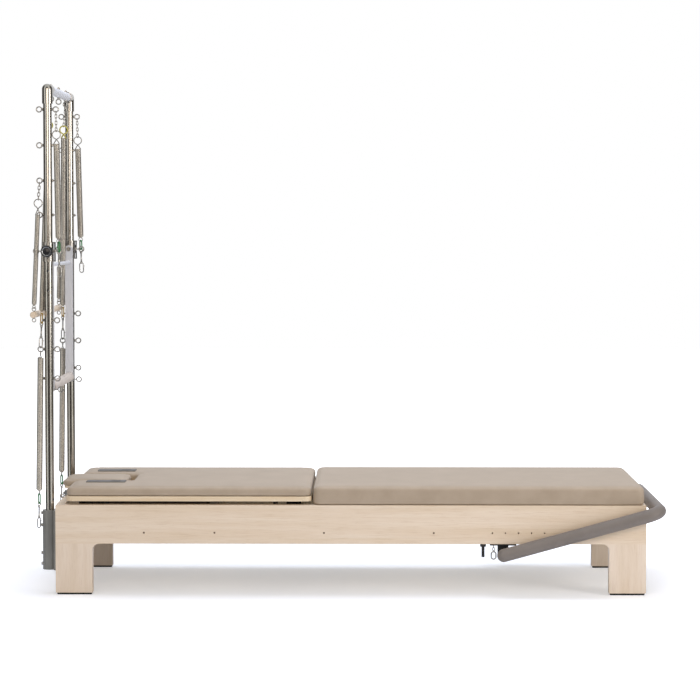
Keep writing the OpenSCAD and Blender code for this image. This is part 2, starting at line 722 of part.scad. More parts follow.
// Roll down bar: a dowel hung by two springs and short chains from the left eyebolts
roll_hang = on_ring(roll_top, roll_joint);
roll_end = [roll_x, -roll_y, roll_z + roll_eye_up + roll_ring_r - roll_wire_r - spring_wire_r - ring_gap];
roll_curls = 5.25;
module roll_down_springs() place() color(steel) both()
  spring(roll_joint, roll_end, 0, roll_coil_r, big_loop_r, spring_neck, long_loop_r, roll_curls);
module roll_down_hardware() place() color(steel) both() {
  hang(roll_hang, roll_joint) chain(norm(roll_joint - roll_hang) + link_up + loop_up);
  for (s = [-1, 1]) translate([roll_x, -roll_y, roll_z + s * roll_eye_up]) ring_y(roll_ring_r, roll_wire_r);
  translate([roll_x, -roll_y, roll_z - roll_eye_up + roll_ring_r])
    cylinder(h = 2 * (roll_eye_up - roll_ring_r), r = roll_wire_r);
}
module roll_down_bar() place() color(maple) difference() {
  translate([roll_x, -roll_l / 2, roll_z]) rotate([-90, 0, 0]) {
    translate([0, 0, 2]) cylinder(h = roll_l - 4, r = roll_r);
    cylinder(h = roll_l, r = roll_r - 2);
  }
  both() translate([roll_x, -roll_y, roll_z - roll_r - 1]) cylinder(h = 2 * roll_r + 2, r = roll_wire_r + 0.05);
}

// Push through bar: collars that slide on the posts, with pull knobs, arms, cross rod and grip
module collar() {
  difference() {
    union() {
      translate([post_x, -post_y, collar_low]) cylinder(h = collar_h, r = collar_r, $fn = 96);
      across(post_x, -boss_out, -post_y, pivot_z, 15);
      across(post_x, -post_y, -arm_y - arm_t / 2 - 0.3, pivot_z, 13);
      for (z = [collar_low, collar_low + collar_h - 4])
        translate([post_x, -post_y - 7, z]) cube([collar_r + 8, 14, 4]);
      translate([ear_x, -post_y, collar_low]) cylinder(h = collar_h, r = 3);
      for (s = [-1, 1]) translate([post_x, -post_y, pivot_z]) {
        translate([s * collar_eye, 0, 0]) ring_y(eye_ring_r, eye_wire_r);
        rotate([0, s * 90, 0]) cylinder(h = collar_eye - eye_ring_r, r = eye_wire_r);
        rotate([0, s * 90, 0]) cylinder(h = collar_r + 5, r = 6);
      }
    }
    translate([post_x, -post_y, collar_low - 1]) cylinder(h = collar_h + 2, r = post_r + run_fit, $fn = 96);
    across(post_x, -boss_out - 1, -post_y, pivot_z, knob_pin_r + run_fit);
  }
  across(post_x, -arm_y - arm_t / 2 - 0.4, -arm_y + arm_t / 2 + 1.5, pivot_z, pivot_r);
  across(post_x, -arm_y + arm_t / 2 + 0.3, -arm_y + arm_t / 2 + 4, pivot_z, 9);
}
module push_bar_collars() place() color(black) both() collar();

// A knob with its pin drawn back, the tip just clear of the post; pushed in by knob_travel it locks the collar
module pull_knob() color(black) {
  knob_face = boss_out + knob_travel + 0.3;
  across(post_x, -knob_face - 12, -post_y - post_r - 0.3, pivot_z, knob_pin_r);
  across(post_x, -knob_face - 7, -knob_face, pivot_z, 13);
  translate([post_x, -knob_face - 6, pivot_z]) rotate([90, 0, 0]) rotate_extrude() polygon(concat(
    [[0, 0], [knob_r - 2, 0]],
    arc(knob_r - 4, 4, 4, -60, 60, 6),
    [[knob_r - 4, 12], [knob_r - 7, 13.5], [knob_r - 9, 12], [knob_r - 12, 13], [0, 14]]
  ));
}
module near_pull_knob() place() pull_knob();
module far_pull_knob() place() mirror([0, 1, 0]) pull_knob();

// Two flat arms with a round cross rod welded between them
module push_bar_arms() place() color(aluminium) {
  across(post_x, -arm_y + arm_t / 2 - 0.1, arm_y - arm_t / 2 + 0.1, pivot_z - rod_drop, rod_r);
  both() push_bar_arm();
}
module push_bar_arm() difference() {
  translate([post_x, -arm_y + arm_t / 2, 0]) rotate([90, 0, 0]) linear_extrude(arm_t) difference() {
    union() {
      translate([-arm_w / 2, push_low]) square([arm_w, arm_l]);
      translate([0, pivot_z]) circle(arm_w / 2);
      translate([0, push_low]) circle(arm_w / 2);
      translate([-arm_w / 2, push_low - 20]) round_rect(arm_w, 20, 8);
    }
    translate([0, pivot_z]) circle(pivot_r + run_fit);
    translate([0, push_low]) circle(4);
  }
  push_eye_hole();
}
module push_eye_hole() {
  translate([post_x - arm_w, -arm_y, push_eye_z]) rotate([0, 90, 0]) cylinder(h = 2 * arm_w, r = eye_shank_r - 0.4);
}
module push_bar_grip() place() color(vinyl) {
  grip_half = arm_y - arm_t / 2;
  difference() {
    translate([post_x, -grip_half, push_low]) rotate([-90, 0, 0]) {
      translate([0, 0, 4]) cylinder(h = 2 * grip_half - 8, r = push_grip_r);
      cylinder(h = 2 * grip_half, r = push_grip_r - 4);
    }
    both() across(post_x, -grip_half - 1, -grip_half + 30, push_low, 4);
  }
}
module push_bar_fittings() place() {
  inner = arm_y - arm_t / 2;
  color(steel) both() {
    across(post_x, -arm_y - arm_t / 2, -inner + 19, push_low, 3.9);
    across(post_x, -arm_y - arm_t / 2 - 3, -arm_y - arm_t / 2, push_low, 7);
    translate([post_x, -arm_y, push_eye_z]) {
      translate([eye_reach + 7, 0, 0]) ring_y(eye_ring_r, eye_wire_r);
      translate([-arm_w / 2 - 4, 0, 0]) rotate([0, 90, 0])
        cylinder(h = arm_w / 2 + 4 + eye_reach + 7 - eye_ring_r, r = eye_shank_r - 0.5);
      translate([arm_w / 2, 0, 0]) rotate([0, 90, 0]) cylinder(h = 3, r = 5.5);
      translate([-arm_w / 2 - 4, 0, 0]) rotate([0, 90, 0]) cylinder(h = 4, r = 5.5);
    }
  }
}

// Foot bar: a bent steel tube with stub ends, inside a padded grip
module bar_frame() {
  translate([foot_pivot_x, 0, foot_pivot_z]) rotate([0, -footbar_slope, 0]) children();
}
module bar_profile(r, hole) difference() {
  circle(r, $fn = 64);
  if (hole > 0) circle(hole, $fn = 64);
}
module bent_bar(r, hole) {
  both() {
    difference() {
      translate([0, -foot_arm_y, 0]) rotate([0, 90, 0]) linear_extrude(footbar_end) bar_profile(r, hole);
      if (hole > 0) across(0, -foot_arm_y, -half_w + 10, 0, hole);
    }
    translate([footbar_end, -foot_arm_y + footbar_bend, 0]) rotate([0, 0, -90])
      rotate_extrude(angle = 90) translate([footbar_bend, 0]) bar_profile(r, hole);
  }
  translate([footbar_arm, -foot_arm_y + footbar_bend, 0]) rotate([-90, 0, 0])
    linear_extrude(2 * (foot_arm_y - footbar_bend)) bar_profile(r, hole);
}
module footbar_tube() place() color(steel) bar_frame() {
  bent_bar(footbar_tube_r, 0);
  both() {
    translate([0, -foot_arm_y, 0]) sphere(footbar_tube_r);
    across(0, -foot_arm_y, -half_w - 1, 0, footbar_tube_r);
    across(0, -foot_arm_y, -lug_y + lug_t / 2 + 4, 0, foot_pin_r);
    across(0, -lug_y + lug_t / 2 + 0.5, -lug_y + lug_t / 2 + 5, 0, foot_pin_r + 3);
    across(0, -half_w - 1, -lug_y - lug_t / 2 - 0.5, 0, foot_pin_r + 3);
  }
}
module footbar_grip() place() color(vinyl_grey) bar_frame() {
  hollow = footbar_tube_r + run_fit;
  bent_bar(grip_r, hollow);
  both() difference() {
    translate([0, -foot_arm_y, 0]) intersection() {
      sphere(grip_r);
      translate([-grip_r - 1, -grip_r - 1, -grip_r - 1]) cube([grip_r + 1, 2 * grip_r + 2, 2 * grip_r + 2]);
    }
    translate([0, -foot_arm_y, 0]) sphere(hollow);
    across(0, -foot_arm_y, -half_w + 10, 0, hollow);
  }
}

// Carriage
module carriage_board() place() color(plywood) difference() {
  round_slab(carriage_start, carriage_x1, 2 * board_half, corner_r, board_z, board_top);
  both() {
    rope_eye_line() cylinder(h = 60, r = 2.5);
    for (x = [head_axle_x + guide_step, foot_axle_x - guide_step])
      translate([x, -guide_y, board_z - 1]) cylinder(h = 15, r = guide_bolt_r);
  }
}
// The line of a rope eye's shank, from its ring up into the board's end
module rope_eye_line() {
  translate([rope_eye_x, -rope_eye_y, rope_eye_z]) rotate([0, 82, 0]) children();
}
module rope_eyes() place() color(chrome) both() {
  translate([rope_eye_x, -rope_eye_y, rope_eye_z]) ring_y(7.5, 2);
  rope_eye_line() translate([0, 0, 7]) cylinder(h = 50, r = 2.5);
}

function rect_ring(x0, x1, w, r, d, z) =
  let(k = max(r - d, 2))
  [for (p = concat(
    arc(x0 + d + k, -w + d + k, k, 180, 270, 6), arc(x1 - d - k, -w + d + k, k, 270, 360, 6),
    arc(x1 - d - k, w - d - k, k, 0, 90, 6), arc(x0 + d + k, w - d - k, k, 90, 180, 6)
  )) [p[0], p[1], z]];
function notched_ring(x0, x1, w, r, xn, nw, rn, d, z) =
  let(k = max(r - d, 2), m = max(rn - d, 2), c = rn + d)
  [for (p = concat(
    arc(x0 + d + k, -w + d + k, k, 180, 270, 6), arc(x1 - d - k, -w + d + k, k, 270, 360, 6),
    arc(x1 - d - k, w - d - k, k, 0, 90, 6), arc(x0 + d + k, w - d - k, k, 90, 180, 6),
    arc(x0 + d + m, nw + d + m, m, 180, 270, 4), arc(xn + d - c, nw + d - c, c, 90, 0, 4),
    arc(xn + d - c, c - nw - d, c, 0, -90, 4), arc(x0 + d + m, -nw - d - m, m, 90, 180, 4)
  )) [p[0], p[1], z]];
// Inset and height of each ring of a pad t thick, with an edge of radius e and a crown c
function pad_layers(t, e, c) = [
  [4, 0], [1.2, 0.1 * t], [0, 0.4 * t], [0.04 * e, t - c - 0.9 * e], [0.3 * e, t - c - 0.34 * e],
  [0.8 * e, t - c - 0.05 * e], [1.6 * e, t - 0.8 * c], [3 * e, t - 0.3 * c], [4.2 * e, t]
];
// Convex pieces of a notched ring: the far shoulder, the near shoulder, the body, and fans round the notch
notched_caps = concat(
  [[for (j = [21:33]) j], concat([for (j = [42:47]) j], [for (j = [0:6]) j]), [for (j = [7:20]) j, 38]],
  [[20, 21, 33], [7, 42, 6]],
  [for (j = [33:37]) [20, j, j + 1]],
  [for (j = [38:41]) [7, j, j + 1]]
);
module carriage_pad() place() color(vinyl) loft(
  [for (a = pad_layers(pad_t, 12, 2)) notched_ring(
    carriage_start, carriage_x1, board_half, corner_r, notch_x, notch_half, 22, a[0], pad_low + a[1])],
  notched_caps
);

module shoulder_plates() place() color([0.52, 0.56, 0.6]) both() difference() {
  translate([plate_x, -plate_y - plate_w / 2, pad_top + soft_gap]) linear_extrude(plate_t)
    round_rect(plate_l, plate_w, 6);
  for (y = [-14, 14]) translate([plate_x + plate_l - 62, -plate_y + y - 4, pad_top - 1]) cube([40, 8, 10]);
}

module wheel_bracket() {
  base = 30;
  rotate([90, 0, 0]) linear_extrude(bracket_t) difference() {
    union() {
      translate([-base, axle_z]) square([2 * base, board_z - axle_z]);
      translate([0, axle_z]) circle(16);
    }
    translate([0, axle_z]) circle(axle_r);
    for (s = [-1, 1]) translate([s * 50, axle_z + 12]) circle(32);
  }
  translate([-base, -0.1, board_z - bracket_t]) cube([2 * base, 28, bracket_t]);
}
module wheel_brackets() place() color(black) both() {
  for (x = [head_axle_x, foot_axle_x]) translate([x, -bracket_y, 0]) wheel_bracket();
  for (x = [head_axle_x + guide_step, foot_axle_x - guide_step]) translate([x, -guide_y, 0]) difference() {
    translate([0, 0, guide_z + guide_w + 0.3]) cylinder(h = board_z - guide_z - guide_w - 0.3, r = 9);
    translate([0, 0, guide_z]) cylinder(h = board_z, r = guide_bolt_r);
  }
}
module wheel_axles() place() color(steel) {
  for (x = [head_axle_x, foot_axle_x]) {
    across(x, -axle_end, axle_end, axle_z, axle_r);
    both() across(x, -axle_end - 3, -axle_end, axle_z, axle_r + 4);
  }
  both() for (x = [head_axle_x + guide_step, foot_axle_x - guide_step]) translate([x, -guide_y, 0]) {
    translate([0, 0, guide_z - 5]) cylinder(h = board_z + 13 - guide_z + 5, r = guide_bolt_r);
    translate([0, 0, guide_z - 5]) cylinder(h = 4.7, r = 8);
  }
}
module load_wheels(x) {
  color(black) both() translate([x, -wheel_y, axle_z]) rotate([90, 0, 0]) difference() {
    rotate_extrude() polygon([
      [0, -wheel_w / 2 - 3], [10, -wheel_w / 2 - 3], [11, -wheel_w / 2 + 4], [wheel_r - 6, -wheel_w / 2 + 4],
      [wheel_r - 5, -wheel_w / 2], [wheel_r - 2, -wheel_w / 2], [wheel_r, -wheel_w / 2 + 2],
      [wheel_r, wheel_w / 2 - 2], [wheel_r - 2, wheel_w / 2], [wheel_r - 5, wheel_w / 2],
      [wheel_r - 6, wheel_w / 2 - 4], [11, wheel_w / 2 - 4], [10, wheel_w / 2 + 3], [0, wheel_w / 2 + 3]
    ]);
    translate([0, 0, -20]) cylinder(h = 40, r = axle_r + run_fit);
  }
}
module head_wheels() place() load_wheels(head_axle_x);
module foot_wheels() place() load_wheels(foot_axle_x);
module guide_wheel(x) {
  color(black) translate([x, -guide_y, guide_z]) difference() {
    rotate_extrude() polygon([
      [0, 0], [guide_r - 2, 0], [guide_r, 2], [guide_r, guide_w - 2], [guide_r - 2, guide_w], [0, guide_w]
    ]);
    translate([0, 0, -1]) cylinder(h = guide_w + 2, r = guide_bolt_r + run_fit);
  }
}
module near_head_guide() place() guide_wheel(head_axle_x + guide_step);
module far_head_guide() place() mirror([0, 1, 0]) guide_wheel(head_axle_x + guide_step);
module near_foot_guide() place() guide_wheel(foot_axle_x - guide_step);
module far_foot_guide() place() mirror([0, 1, 0]) guide_wheel(foot_axle_x - guide_step);

// A rod under the carriage board that the carriage springs hook on
hanger_half = 2.4 * carriage_spring_pitch;
hanger_plate_l = 40;
module spring_hanger() place() color(steel) {
  difference() {
    both() translate([hanger_x - hanger_plate_l / 2, -hanger_half, hanger_z - 12])
      cube([hanger_plate_l, 8, board_z - hanger_z + 12]);
    across(hanger_x, -half_w, half_w, hanger_z, hanger_r);
  }
  across(hanger_x, -hanger_half - 2, hanger_half + 2, hanger_z, hanger_r);
}

// Carriage springs, unhooked at the foot end: they lie on the foot end axle and end in a hook
carriage_loop_r = 9;
carriage_loop_z = hanger_z - (carriage_loop_r - spring_wire_r - hanger_r) + ring_gap;
carriage_spring_top = axle_z + axle_r + carriage_spring_r + soft_gap;
carriage_tilt = atan2(carriage_loop_z - carriage_spring_top, foot_axle_x - hanger_x);
module carriage_springs() place() color(steel) for (i = [-2:2])
  translate([hanger_x, i * carriage_spring_pitch, carriage_loop_z]) rotate([0, carriage_tilt, 0]) {
    ring_y(carriage_loop_r, spring_wire_r);
    translate([carriage_loop_r - 1, 0, 0]) rotate([0, 90, 0]) {
      cylinder(h = 12, r = 4);
      translate([0, 0, 8]) difference() {
        cylinder(h = carriage_spring_l - 60, r = carriage_spring_r);
        translate([0, 0, 3]) cylinder(h = carriage_spring_l - 66, r = carriage_spring_r - 3);
      }
      translate([0, 0, carriage_spring_l - 53]) cylinder(h = 15, r = 4);
    }
    translate([carriage_spring_l - 24, 0, 0]) ring_y(carriage_loop_r, spring_wire_r);
  }

// Headrest, hinged at its foot side end
module headrest_board() place() color(plywood) {
  round_slab(headrest_x0 + 6, headrest_x1 - 4, headrest_w - 12, 24, headrest_z, headrest_z + headrest_board_t);
  difference() {
    union() {
      across(hinge_x, -30, 30, hinge_z, hinge_r);
      translate([headrest_x1 - 8, -30, headrest_z]) cube([hinge_x - headrest_x1 + 8, 60, 4]);
    }
    across(hinge_x, -31, 31, hinge_z, 2 + run_fit);
  }
}
module headrest_pad() place() color(vinyl)
  loft([for (a = pad_layers(pad_top - headrest_z - headrest_board_t - soft_gap, 11, 2)) rect_ring(
    headrest_x0, headrest_x1, headrest_w / 2, 28, a[0], headrest_z + headrest_board_t + soft_gap + a[1])]);
module headrest_hinge() place() color(steel) {
  both() difference() {
    union() {
      across(hinge_x, -42, -30.3, hinge_z, hinge_r);
      translate([hinge_x, -42, board_top]) cube([16, 11.7, 3]);
    }
    across(hinge_x, -43, -29, hinge_z, 2);
  }
  across(hinge_x, -42, 42, hinge_z, 2);
}

// Mat that closes the frame's foot half; its pad reaches down round the board
module mat_board() place() color(plywood) {
  in = skirt_t + soft_gap;
  round_slab(mat_x0 + in, mat_x1 - in, 2 * (board_half - in), corner_r - skirt_t, mat_low, mat_low + mat_board_t);
  for (x = [mat_x0 + 130, frame_l - 170])
    translate([x, -rail_in + 2.5, mat_low - cleat_d]) cube([60, 2 * rail_in - 5, cleat_d + 1]);
}
module mat_pad() place() color(vinyl) {
  layers = pad_layers(mat_t - soft_gap, 12, 2);
  loft([for (a = concat(
    [[skirt_t, mat_board_t + soft_gap], [skirt_t, 0], [1.2, 0]], [for (i = [1:8]) layers[i]]
  )) rect_ring(mat_x0, mat_x1, board_half, corner_r, a[0], mat_low + a[1])]);
}

near_side_rail();
far_side_rail();
head_end_board();
foot_end_board();
cross_braces();
near_track();
far_track();
leg_pads();
rail_screws();
spring_bar();
footbar_brackets();
strap_hooks();
near_post_socket();
far_post_socket();
socket_bolts();
near_post();
far_post();
corner_elbows();
top_cross_tube();
tower_eyebolts();
long_springs();
long_spring_hardware();
near_arm_spring();
near_arm_hardware();
far_arm_spring();
far_arm_hardware();
near_leg_spring();
near_leg_hardware();
far_leg_spring();
far_leg_hardware();
roll_down_springs();
roll_down_hardware();
roll_down_bar();
push_bar_collars();
near_pull_knob();
far_pull_knob();
push_bar_arms();
push_bar_grip();
push_bar_fittings();
footbar_tube();
footbar_grip();
carriage_board();
carriage_pad();
shoulder_plates();
wheel_brackets();
wheel_axles();
rope_eyes();
spring_hanger();
carriage_springs();
head_wheels();
foot_wheels();
near_head_guide();
far_head_guide();
near_foot_guide();
far_foot_guide();
headrest_board();
headrest_pad();
headrest_hinge();
mat_board();
mat_pad();
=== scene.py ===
import math
import bpy
import numpy as np
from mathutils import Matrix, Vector


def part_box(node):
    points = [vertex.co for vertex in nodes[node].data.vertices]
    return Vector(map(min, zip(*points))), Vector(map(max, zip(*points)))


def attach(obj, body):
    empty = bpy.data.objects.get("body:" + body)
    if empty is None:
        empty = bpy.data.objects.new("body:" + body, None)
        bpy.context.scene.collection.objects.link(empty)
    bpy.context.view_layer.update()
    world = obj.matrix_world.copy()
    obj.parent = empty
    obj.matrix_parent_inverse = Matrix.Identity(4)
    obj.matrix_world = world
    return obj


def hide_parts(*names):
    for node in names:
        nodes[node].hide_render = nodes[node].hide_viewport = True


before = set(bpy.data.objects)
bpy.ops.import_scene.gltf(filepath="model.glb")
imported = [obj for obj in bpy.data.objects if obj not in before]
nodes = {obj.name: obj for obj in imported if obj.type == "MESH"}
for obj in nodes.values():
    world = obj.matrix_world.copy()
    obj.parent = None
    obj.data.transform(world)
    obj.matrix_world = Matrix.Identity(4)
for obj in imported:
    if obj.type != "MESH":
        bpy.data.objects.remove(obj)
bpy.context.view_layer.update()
scene = bpy.context.scene
mm = 0.001
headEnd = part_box("near_side_rail")[0].x  # the frame's head end, where the plan's x starts
print("frame loaded:", len(nodes), "nodes")


def at(x, y, z):
    # millimetres from the frame's head end, the middle plane and the floor, as metres in the row frame
    return np.array([headEnd + x * mm, y * mm, z * mm])


def linear(code):
    # an sRGB hex code as linear light
    parts = [int(code[i:i + 2], 16) / 255 for i in (1, 3, 5)]
    return tuple(c / 12.92 if c <= 0.04045 else ((c + 0.055) / 1.055) ** 2.4 for c in parts) + (1,)


# Materials

def add(tree, kind, sockets=None, out=0, stops=(), **settings):
    # one shader node with its settings, its inputs by name or number, and its colour stops if it has them;
    # gives back one of its outputs
    made = tree.nodes.new("ShaderNode" + kind)
    for name, value in settings.items():
        setattr(made, name, value)
    for name, value in (sockets or {}).items():
        if isinstance(value, bpy.types.NodeSocket):
            tree.links.new(value, made.inputs[name])
        else:
            made.inputs[name].default_value = value
    for i, (place, code) in enumerate(stops):
        band = made.color_ramp.elements
        stop = band[i] if i < 2 else band.new(place)
        stop.position = place
        stop.color = linear(code)
    return made.outputs[out]


def newMaterial(name, **inputs):
    material = bpy.data.materials.new(name)
    material.use_nodes = True
    tree = material.node_tree
    shader = tree.nodes["Principled BSDF"]
    for key, value in inputs.items():
        shader.inputs[key.replace("_", " ")].default_value = value
    return material, tree, shader


def plan(tree, scale=(1, 1, 1)):
    # object coordinates, scaled along each axis: under 1 draws a pattern out along it
    place = add(tree, "TexCoord", out="Object")
    return add(tree, "Mapping", {"Vector": place, "Scale": scale})


def finishWith(tree, shader, colour, factor, low, high, height, depth, strength, edge=0.0):
    # colour, roughness from low to high with the factor, and bump of the given depth in metres, over edges
    # rounded by the given radius
    tree.links.new(colour, shader.inputs["Base Color"])
    rough = add(tree, "MapRange", {"Value": factor, "To Min": low, "To Max": high})
    tree.links.new(rough, shader.inputs["Roughness"])
    sockets = {"Height": height, "Distance": depth, "Strength": strength}
    if edge:
        sockets["Normal"] = add(tree, "Bevel", {"Radius": edge}, samples=4)
    tree.links.new(add(tree, "Bump", sockets), shader.inputs["Normal"])


def hardMaple():
    # planed and lacquered maple: pale straight figure along the rail, short dark flecks, satin lacquer
    # grain, figure and flecks are drawn wider than real ones, which would be too fine to show; sizes in mm
    wood = {"grainWidth": 5.0, "figureWidth": 38.0, "fleckLength": 6.0, "legTop": 209.0, "sway": 0.035,
            "fibreShare": 0.42, "fleckReach": 0.1, "fleckShare": 0.22, "legShare": 0.25}
    material, tree, shader = newMaterial("lacquered hard maple", IOR=1.5, Coat_Weight=0.12,
                                         Coat_Roughness=0.3)
    place = add(tree, "TexCoord", out="Object")
    height = add(tree, "SeparateXYZ", {"Vector": place}, "Z")
    isLeg = add(tree, "Math", {0: height, 1: wood["legTop"] * mm}, operation="LESS_THAN")
    along = add(tree, "Mapping", {"Vector": place, "Scale": (0.05, 1, 1)})
    upright = add(tree, "Mapping", {"Vector": place, "Scale": (1, 1, 0.07)})
    grain = add(tree, "Mix", {0: isLeg, 4: along, 5: upright}, 1, data_type="VECTOR")
    broad = 1 / (wood["figureWidth"] * mm)
    drift = add(tree, "TexNoise", {"Vector": grain, "Scale": broad, "Detail": 2.0}, "Color")
    bent = add(tree, "VectorMath", {0: drift, "Scale": wood["sway"]}, operation="SCALE")
    swayed = add(tree, "VectorMath", {0: grain, 1: bent}, operation="ADD")
    figure = add(tree, "TexNoise", {"Vector": swayed, "Scale": broad, "Detail": 4.0, "Roughness": 0.6})
    fibre = add(tree, "TexNoise", {"Vector": grain, "Scale": 1 / (wood["grainWidth"] * mm), "Detail": 5.0,
                                   "Roughness": 0.7})
    tint = add(tree, "ValToRGB", {0: figure}, stops=[(0.2, "#d8c2a2"), (0.8, "#eedfcb"), (0.42, "#e3cfb5"),
                                                     (0.58, "#e8d6bf")])
    fine = add(tree, "ValToRGB", {0: fibre}, stops=[(0.3, "#dccbb4"), (0.8, "#fffaf4"), (0.5, "#ffffff")])
    wooden = add(tree, "Mix", {0: wood["fibreShare"], 6: tint, 7: fine}, 2, data_type="RGBA",
                 blend_type="MULTIPLY")
    fleck = add(tree, "Mapping", {"Vector": grain, "Scale": (4, 1, 1)})
    dots = add(tree, "TexVoronoi", {"Vector": fleck, "Scale": 1 / (wood["fleckLength"] * mm)}, "Distance")
    isFleck = add(tree, "Math", {0: dots, 1: wood["fleckReach"]}, operation="LESS_THAN")
    soft = add(tree, "Math", {0: isFleck, 1: wood["fleckShare"]}, operation="MULTIPLY")
    flecked = add(tree, "Mix", {0: soft, 6: wooden, 7: linear("#b99c76")}, 2, data_type="RGBA")
    # the leg boards are paler than the rail boards above them
    paler = add(tree, "Math", {0: isLeg, 1: wood["legShare"]}, operation="MULTIPLY")
    legged = add(tree, "Mix", {0: paler, 6: flecked, 7: linear("#f0e3d7")}, 2, data_type="RGBA")
    finishWith(tree, shader, legged, fibre, 0.34, 0.48, fibre, 0.00015, 0.5, 0.0025)
    return material


def birchPly():
    # birch plywood: thin light and dark veneers show on its sanded edges, and plain birch on its faces
    ply = {"veneer": 1.4, "figureWidth": 17.0, "darkPart": 0.45, "darkShare": 0.4}
    material, tree, shader = newMaterial("birch plywood", IOR=1.5)
    place = add(tree, "TexCoord", out="Object")
    height = add(tree, "SeparateXYZ", {"Vector": place}, "Z")
    layers = add(tree, "Math", {0: height, 1: 2 * ply["veneer"] * mm}, operation="DIVIDE")
    throughPair = add(tree, "Math", {0: layers}, operation="FRACT")
    dark = add(tree, "Math", {0: throughPair, 1: ply["darkPart"]}, operation="LESS_THAN")
    normal = add(tree, "NewGeometry", out="True Normal")
    upward = add(tree, "SeparateXYZ", {"Vector": normal}, "Z")
    facing = add(tree, "Math", {0: upward}, operation="ABSOLUTE")
    isEdge = add(tree, "Math", {0: facing, 1: 0.5}, operation="LESS_THAN")
    along = plan(tree, (0.06, 1, 1))
    figure = add(tree, "TexNoise", {"Vector": along, "Scale": 1 / (ply["figureWidth"] * mm), "Detail": 4.0,
                                    "Roughness": 0.6})
    face = add(tree, "ValToRGB", {0: figure}, stops=[(0.3, "#e0c8a4"), (0.75, "#f0e1c6"), (0.5, "#e9d6b6")])
    part = add(tree, "Math", {0: dark, 1: ply["darkShare"]}, operation="MULTIPLY")
    stripe = add(tree, "Mix", {0: part, 6: face, 7: linear("#b58e5e")}, 2, data_type="RGBA")
    colour = add(tree, "Mix", {0: isEdge, 6: face, 7: stripe}, 2, data_type="RGBA")
    finishWith(tree, shader, colour, figure, 0.42, 0.58, figure, 0.0001, 0.4, 0.0015)
    return material


def upholsteryVinyl(name, codes, grainSize=1.6):
    # calendered vinyl over foam: fine leather grain, drawn coarser than real so that it shows, faint
    # mottling, a soft low gloss
    material, tree, shader = newMaterial(name, IOR=1.5, Sheen_Weight=0.1, Sheen_Roughness=0.4)
    place = plan(tree)
    mottle = add(tree, "TexNoise", {"Vector": place, "Scale": 1 / (110 * mm), "Detail": 4.0,
                                    "Roughness": 0.6})
    tint = add(tree, "ValToRGB", {0: mottle}, stops=[(0.25, codes[0]), (0.78, codes[2]), (0.5, codes[1])])
    cells = add(tree, "TexVoronoi", {"Vector": place, "Scale": 1 / (grainSize * mm), "Randomness": 0.9},
                "Distance", feature="SMOOTH_F1")
    fine = add(tree, "TexNoise", {"Vector": place, "Scale": 1 / (0.6 * mm), "Detail": 2.0})
    part = add(tree, "Math", {0: fine, 1: 0.4}, operation="MULTIPLY")
    skin = add(tree, "Math", {0: cells, 1: part}, operation="ADD")
    finishWith(tree, shader, tint, mottle, 0.46, 0.58, skin, 0.00012, 0.5)
    return material


def drawnSteel(name, code, dark, roughness=0.2, brush=(1, 1, 0.02), line=1.2, edge=0.0006, metal=1.0):
    # polished steel: it mirrors the studio, blurred by hair lines along the way it was drawn, made wide
    # enough to show
    material, tree, shader = newMaterial(name, Metallic=metal)
    hair = add(tree, "TexNoise", {"Vector": plan(tree, brush), "Scale": 1 / (line * mm), "Detail": 4.0,
                                  "Roughness": 0.7})
    cloud = add(tree, "TexNoise", {"Vector": plan(tree), "Scale": 1 / (70 * mm), "Detail": 3.0})
    both = add(tree, "Mix", {0: 0.6, 2: hair, 3: cloud}, 0, data_type="FLOAT")
    tint = add(tree, "ValToRGB", {0: both}, stops=[(0.3, dark), (0.6, code)])
    finishWith(tree, shader, tint, hair, roughness * 0.75, roughness * 1.3, hair, 0.00003, 0.3, edge)
    return material


def postSteel():
    # the tower's polished tube; the inside of its bore is painted near black as painted shade, so that the
    # pull pins' holes show dark
    axis = {"x": -28.0, "y": 296.5, "inward": -6.0}
    material = drawnSteel("polished stainless tube", "#c4c1bb", "#a7a39c", 0.17)
    tree = material.node_tree
    shader = tree.nodes["Principled BSDF"]
    place = add(tree, "TexCoord", out="Object")
    normal = add(tree, "NewGeometry", out="True Normal")
    y = add(tree, "SeparateXYZ", {"Vector": place}, "Y")
    side = add(tree, "Math", {0: y}, operation="SIGN")
    centreY = add(tree, "Math", {0: side, 1: axis["y"] * mm}, operation="MULTIPLY")
    centre = add(tree, "CombineXYZ", {"X": float(at(axis["x"], 0, 0)[0]), "Y": centreY})
    outward = add(tree, "VectorMath", {0: place, 1: centre}, operation="SUBTRACT")
    level = add(tree, "VectorMath", {0: outward, 1: (1, 1, 0)}, operation="MULTIPLY")
    facing = add(tree, "VectorMath", {0: level, 1: normal}, "Value", operation="DOT_PRODUCT")
    boreShadeMask = add(tree, "Math", {0: facing, 1: axis["inward"] * mm}, operation="LESS_THAN")
    polished = shader.inputs["Base Color"].links[0].from_socket
    # painted shade: faces turned in towards the tube's axis are coloured near black
    dark = add(tree, "Mix", {0: boreShadeMask, 6: polished, 7: linear("#1d1c1b")}, 2, data_type="RGBA")
    tree.links.new(dark, shader.inputs["Base Color"])
    return material


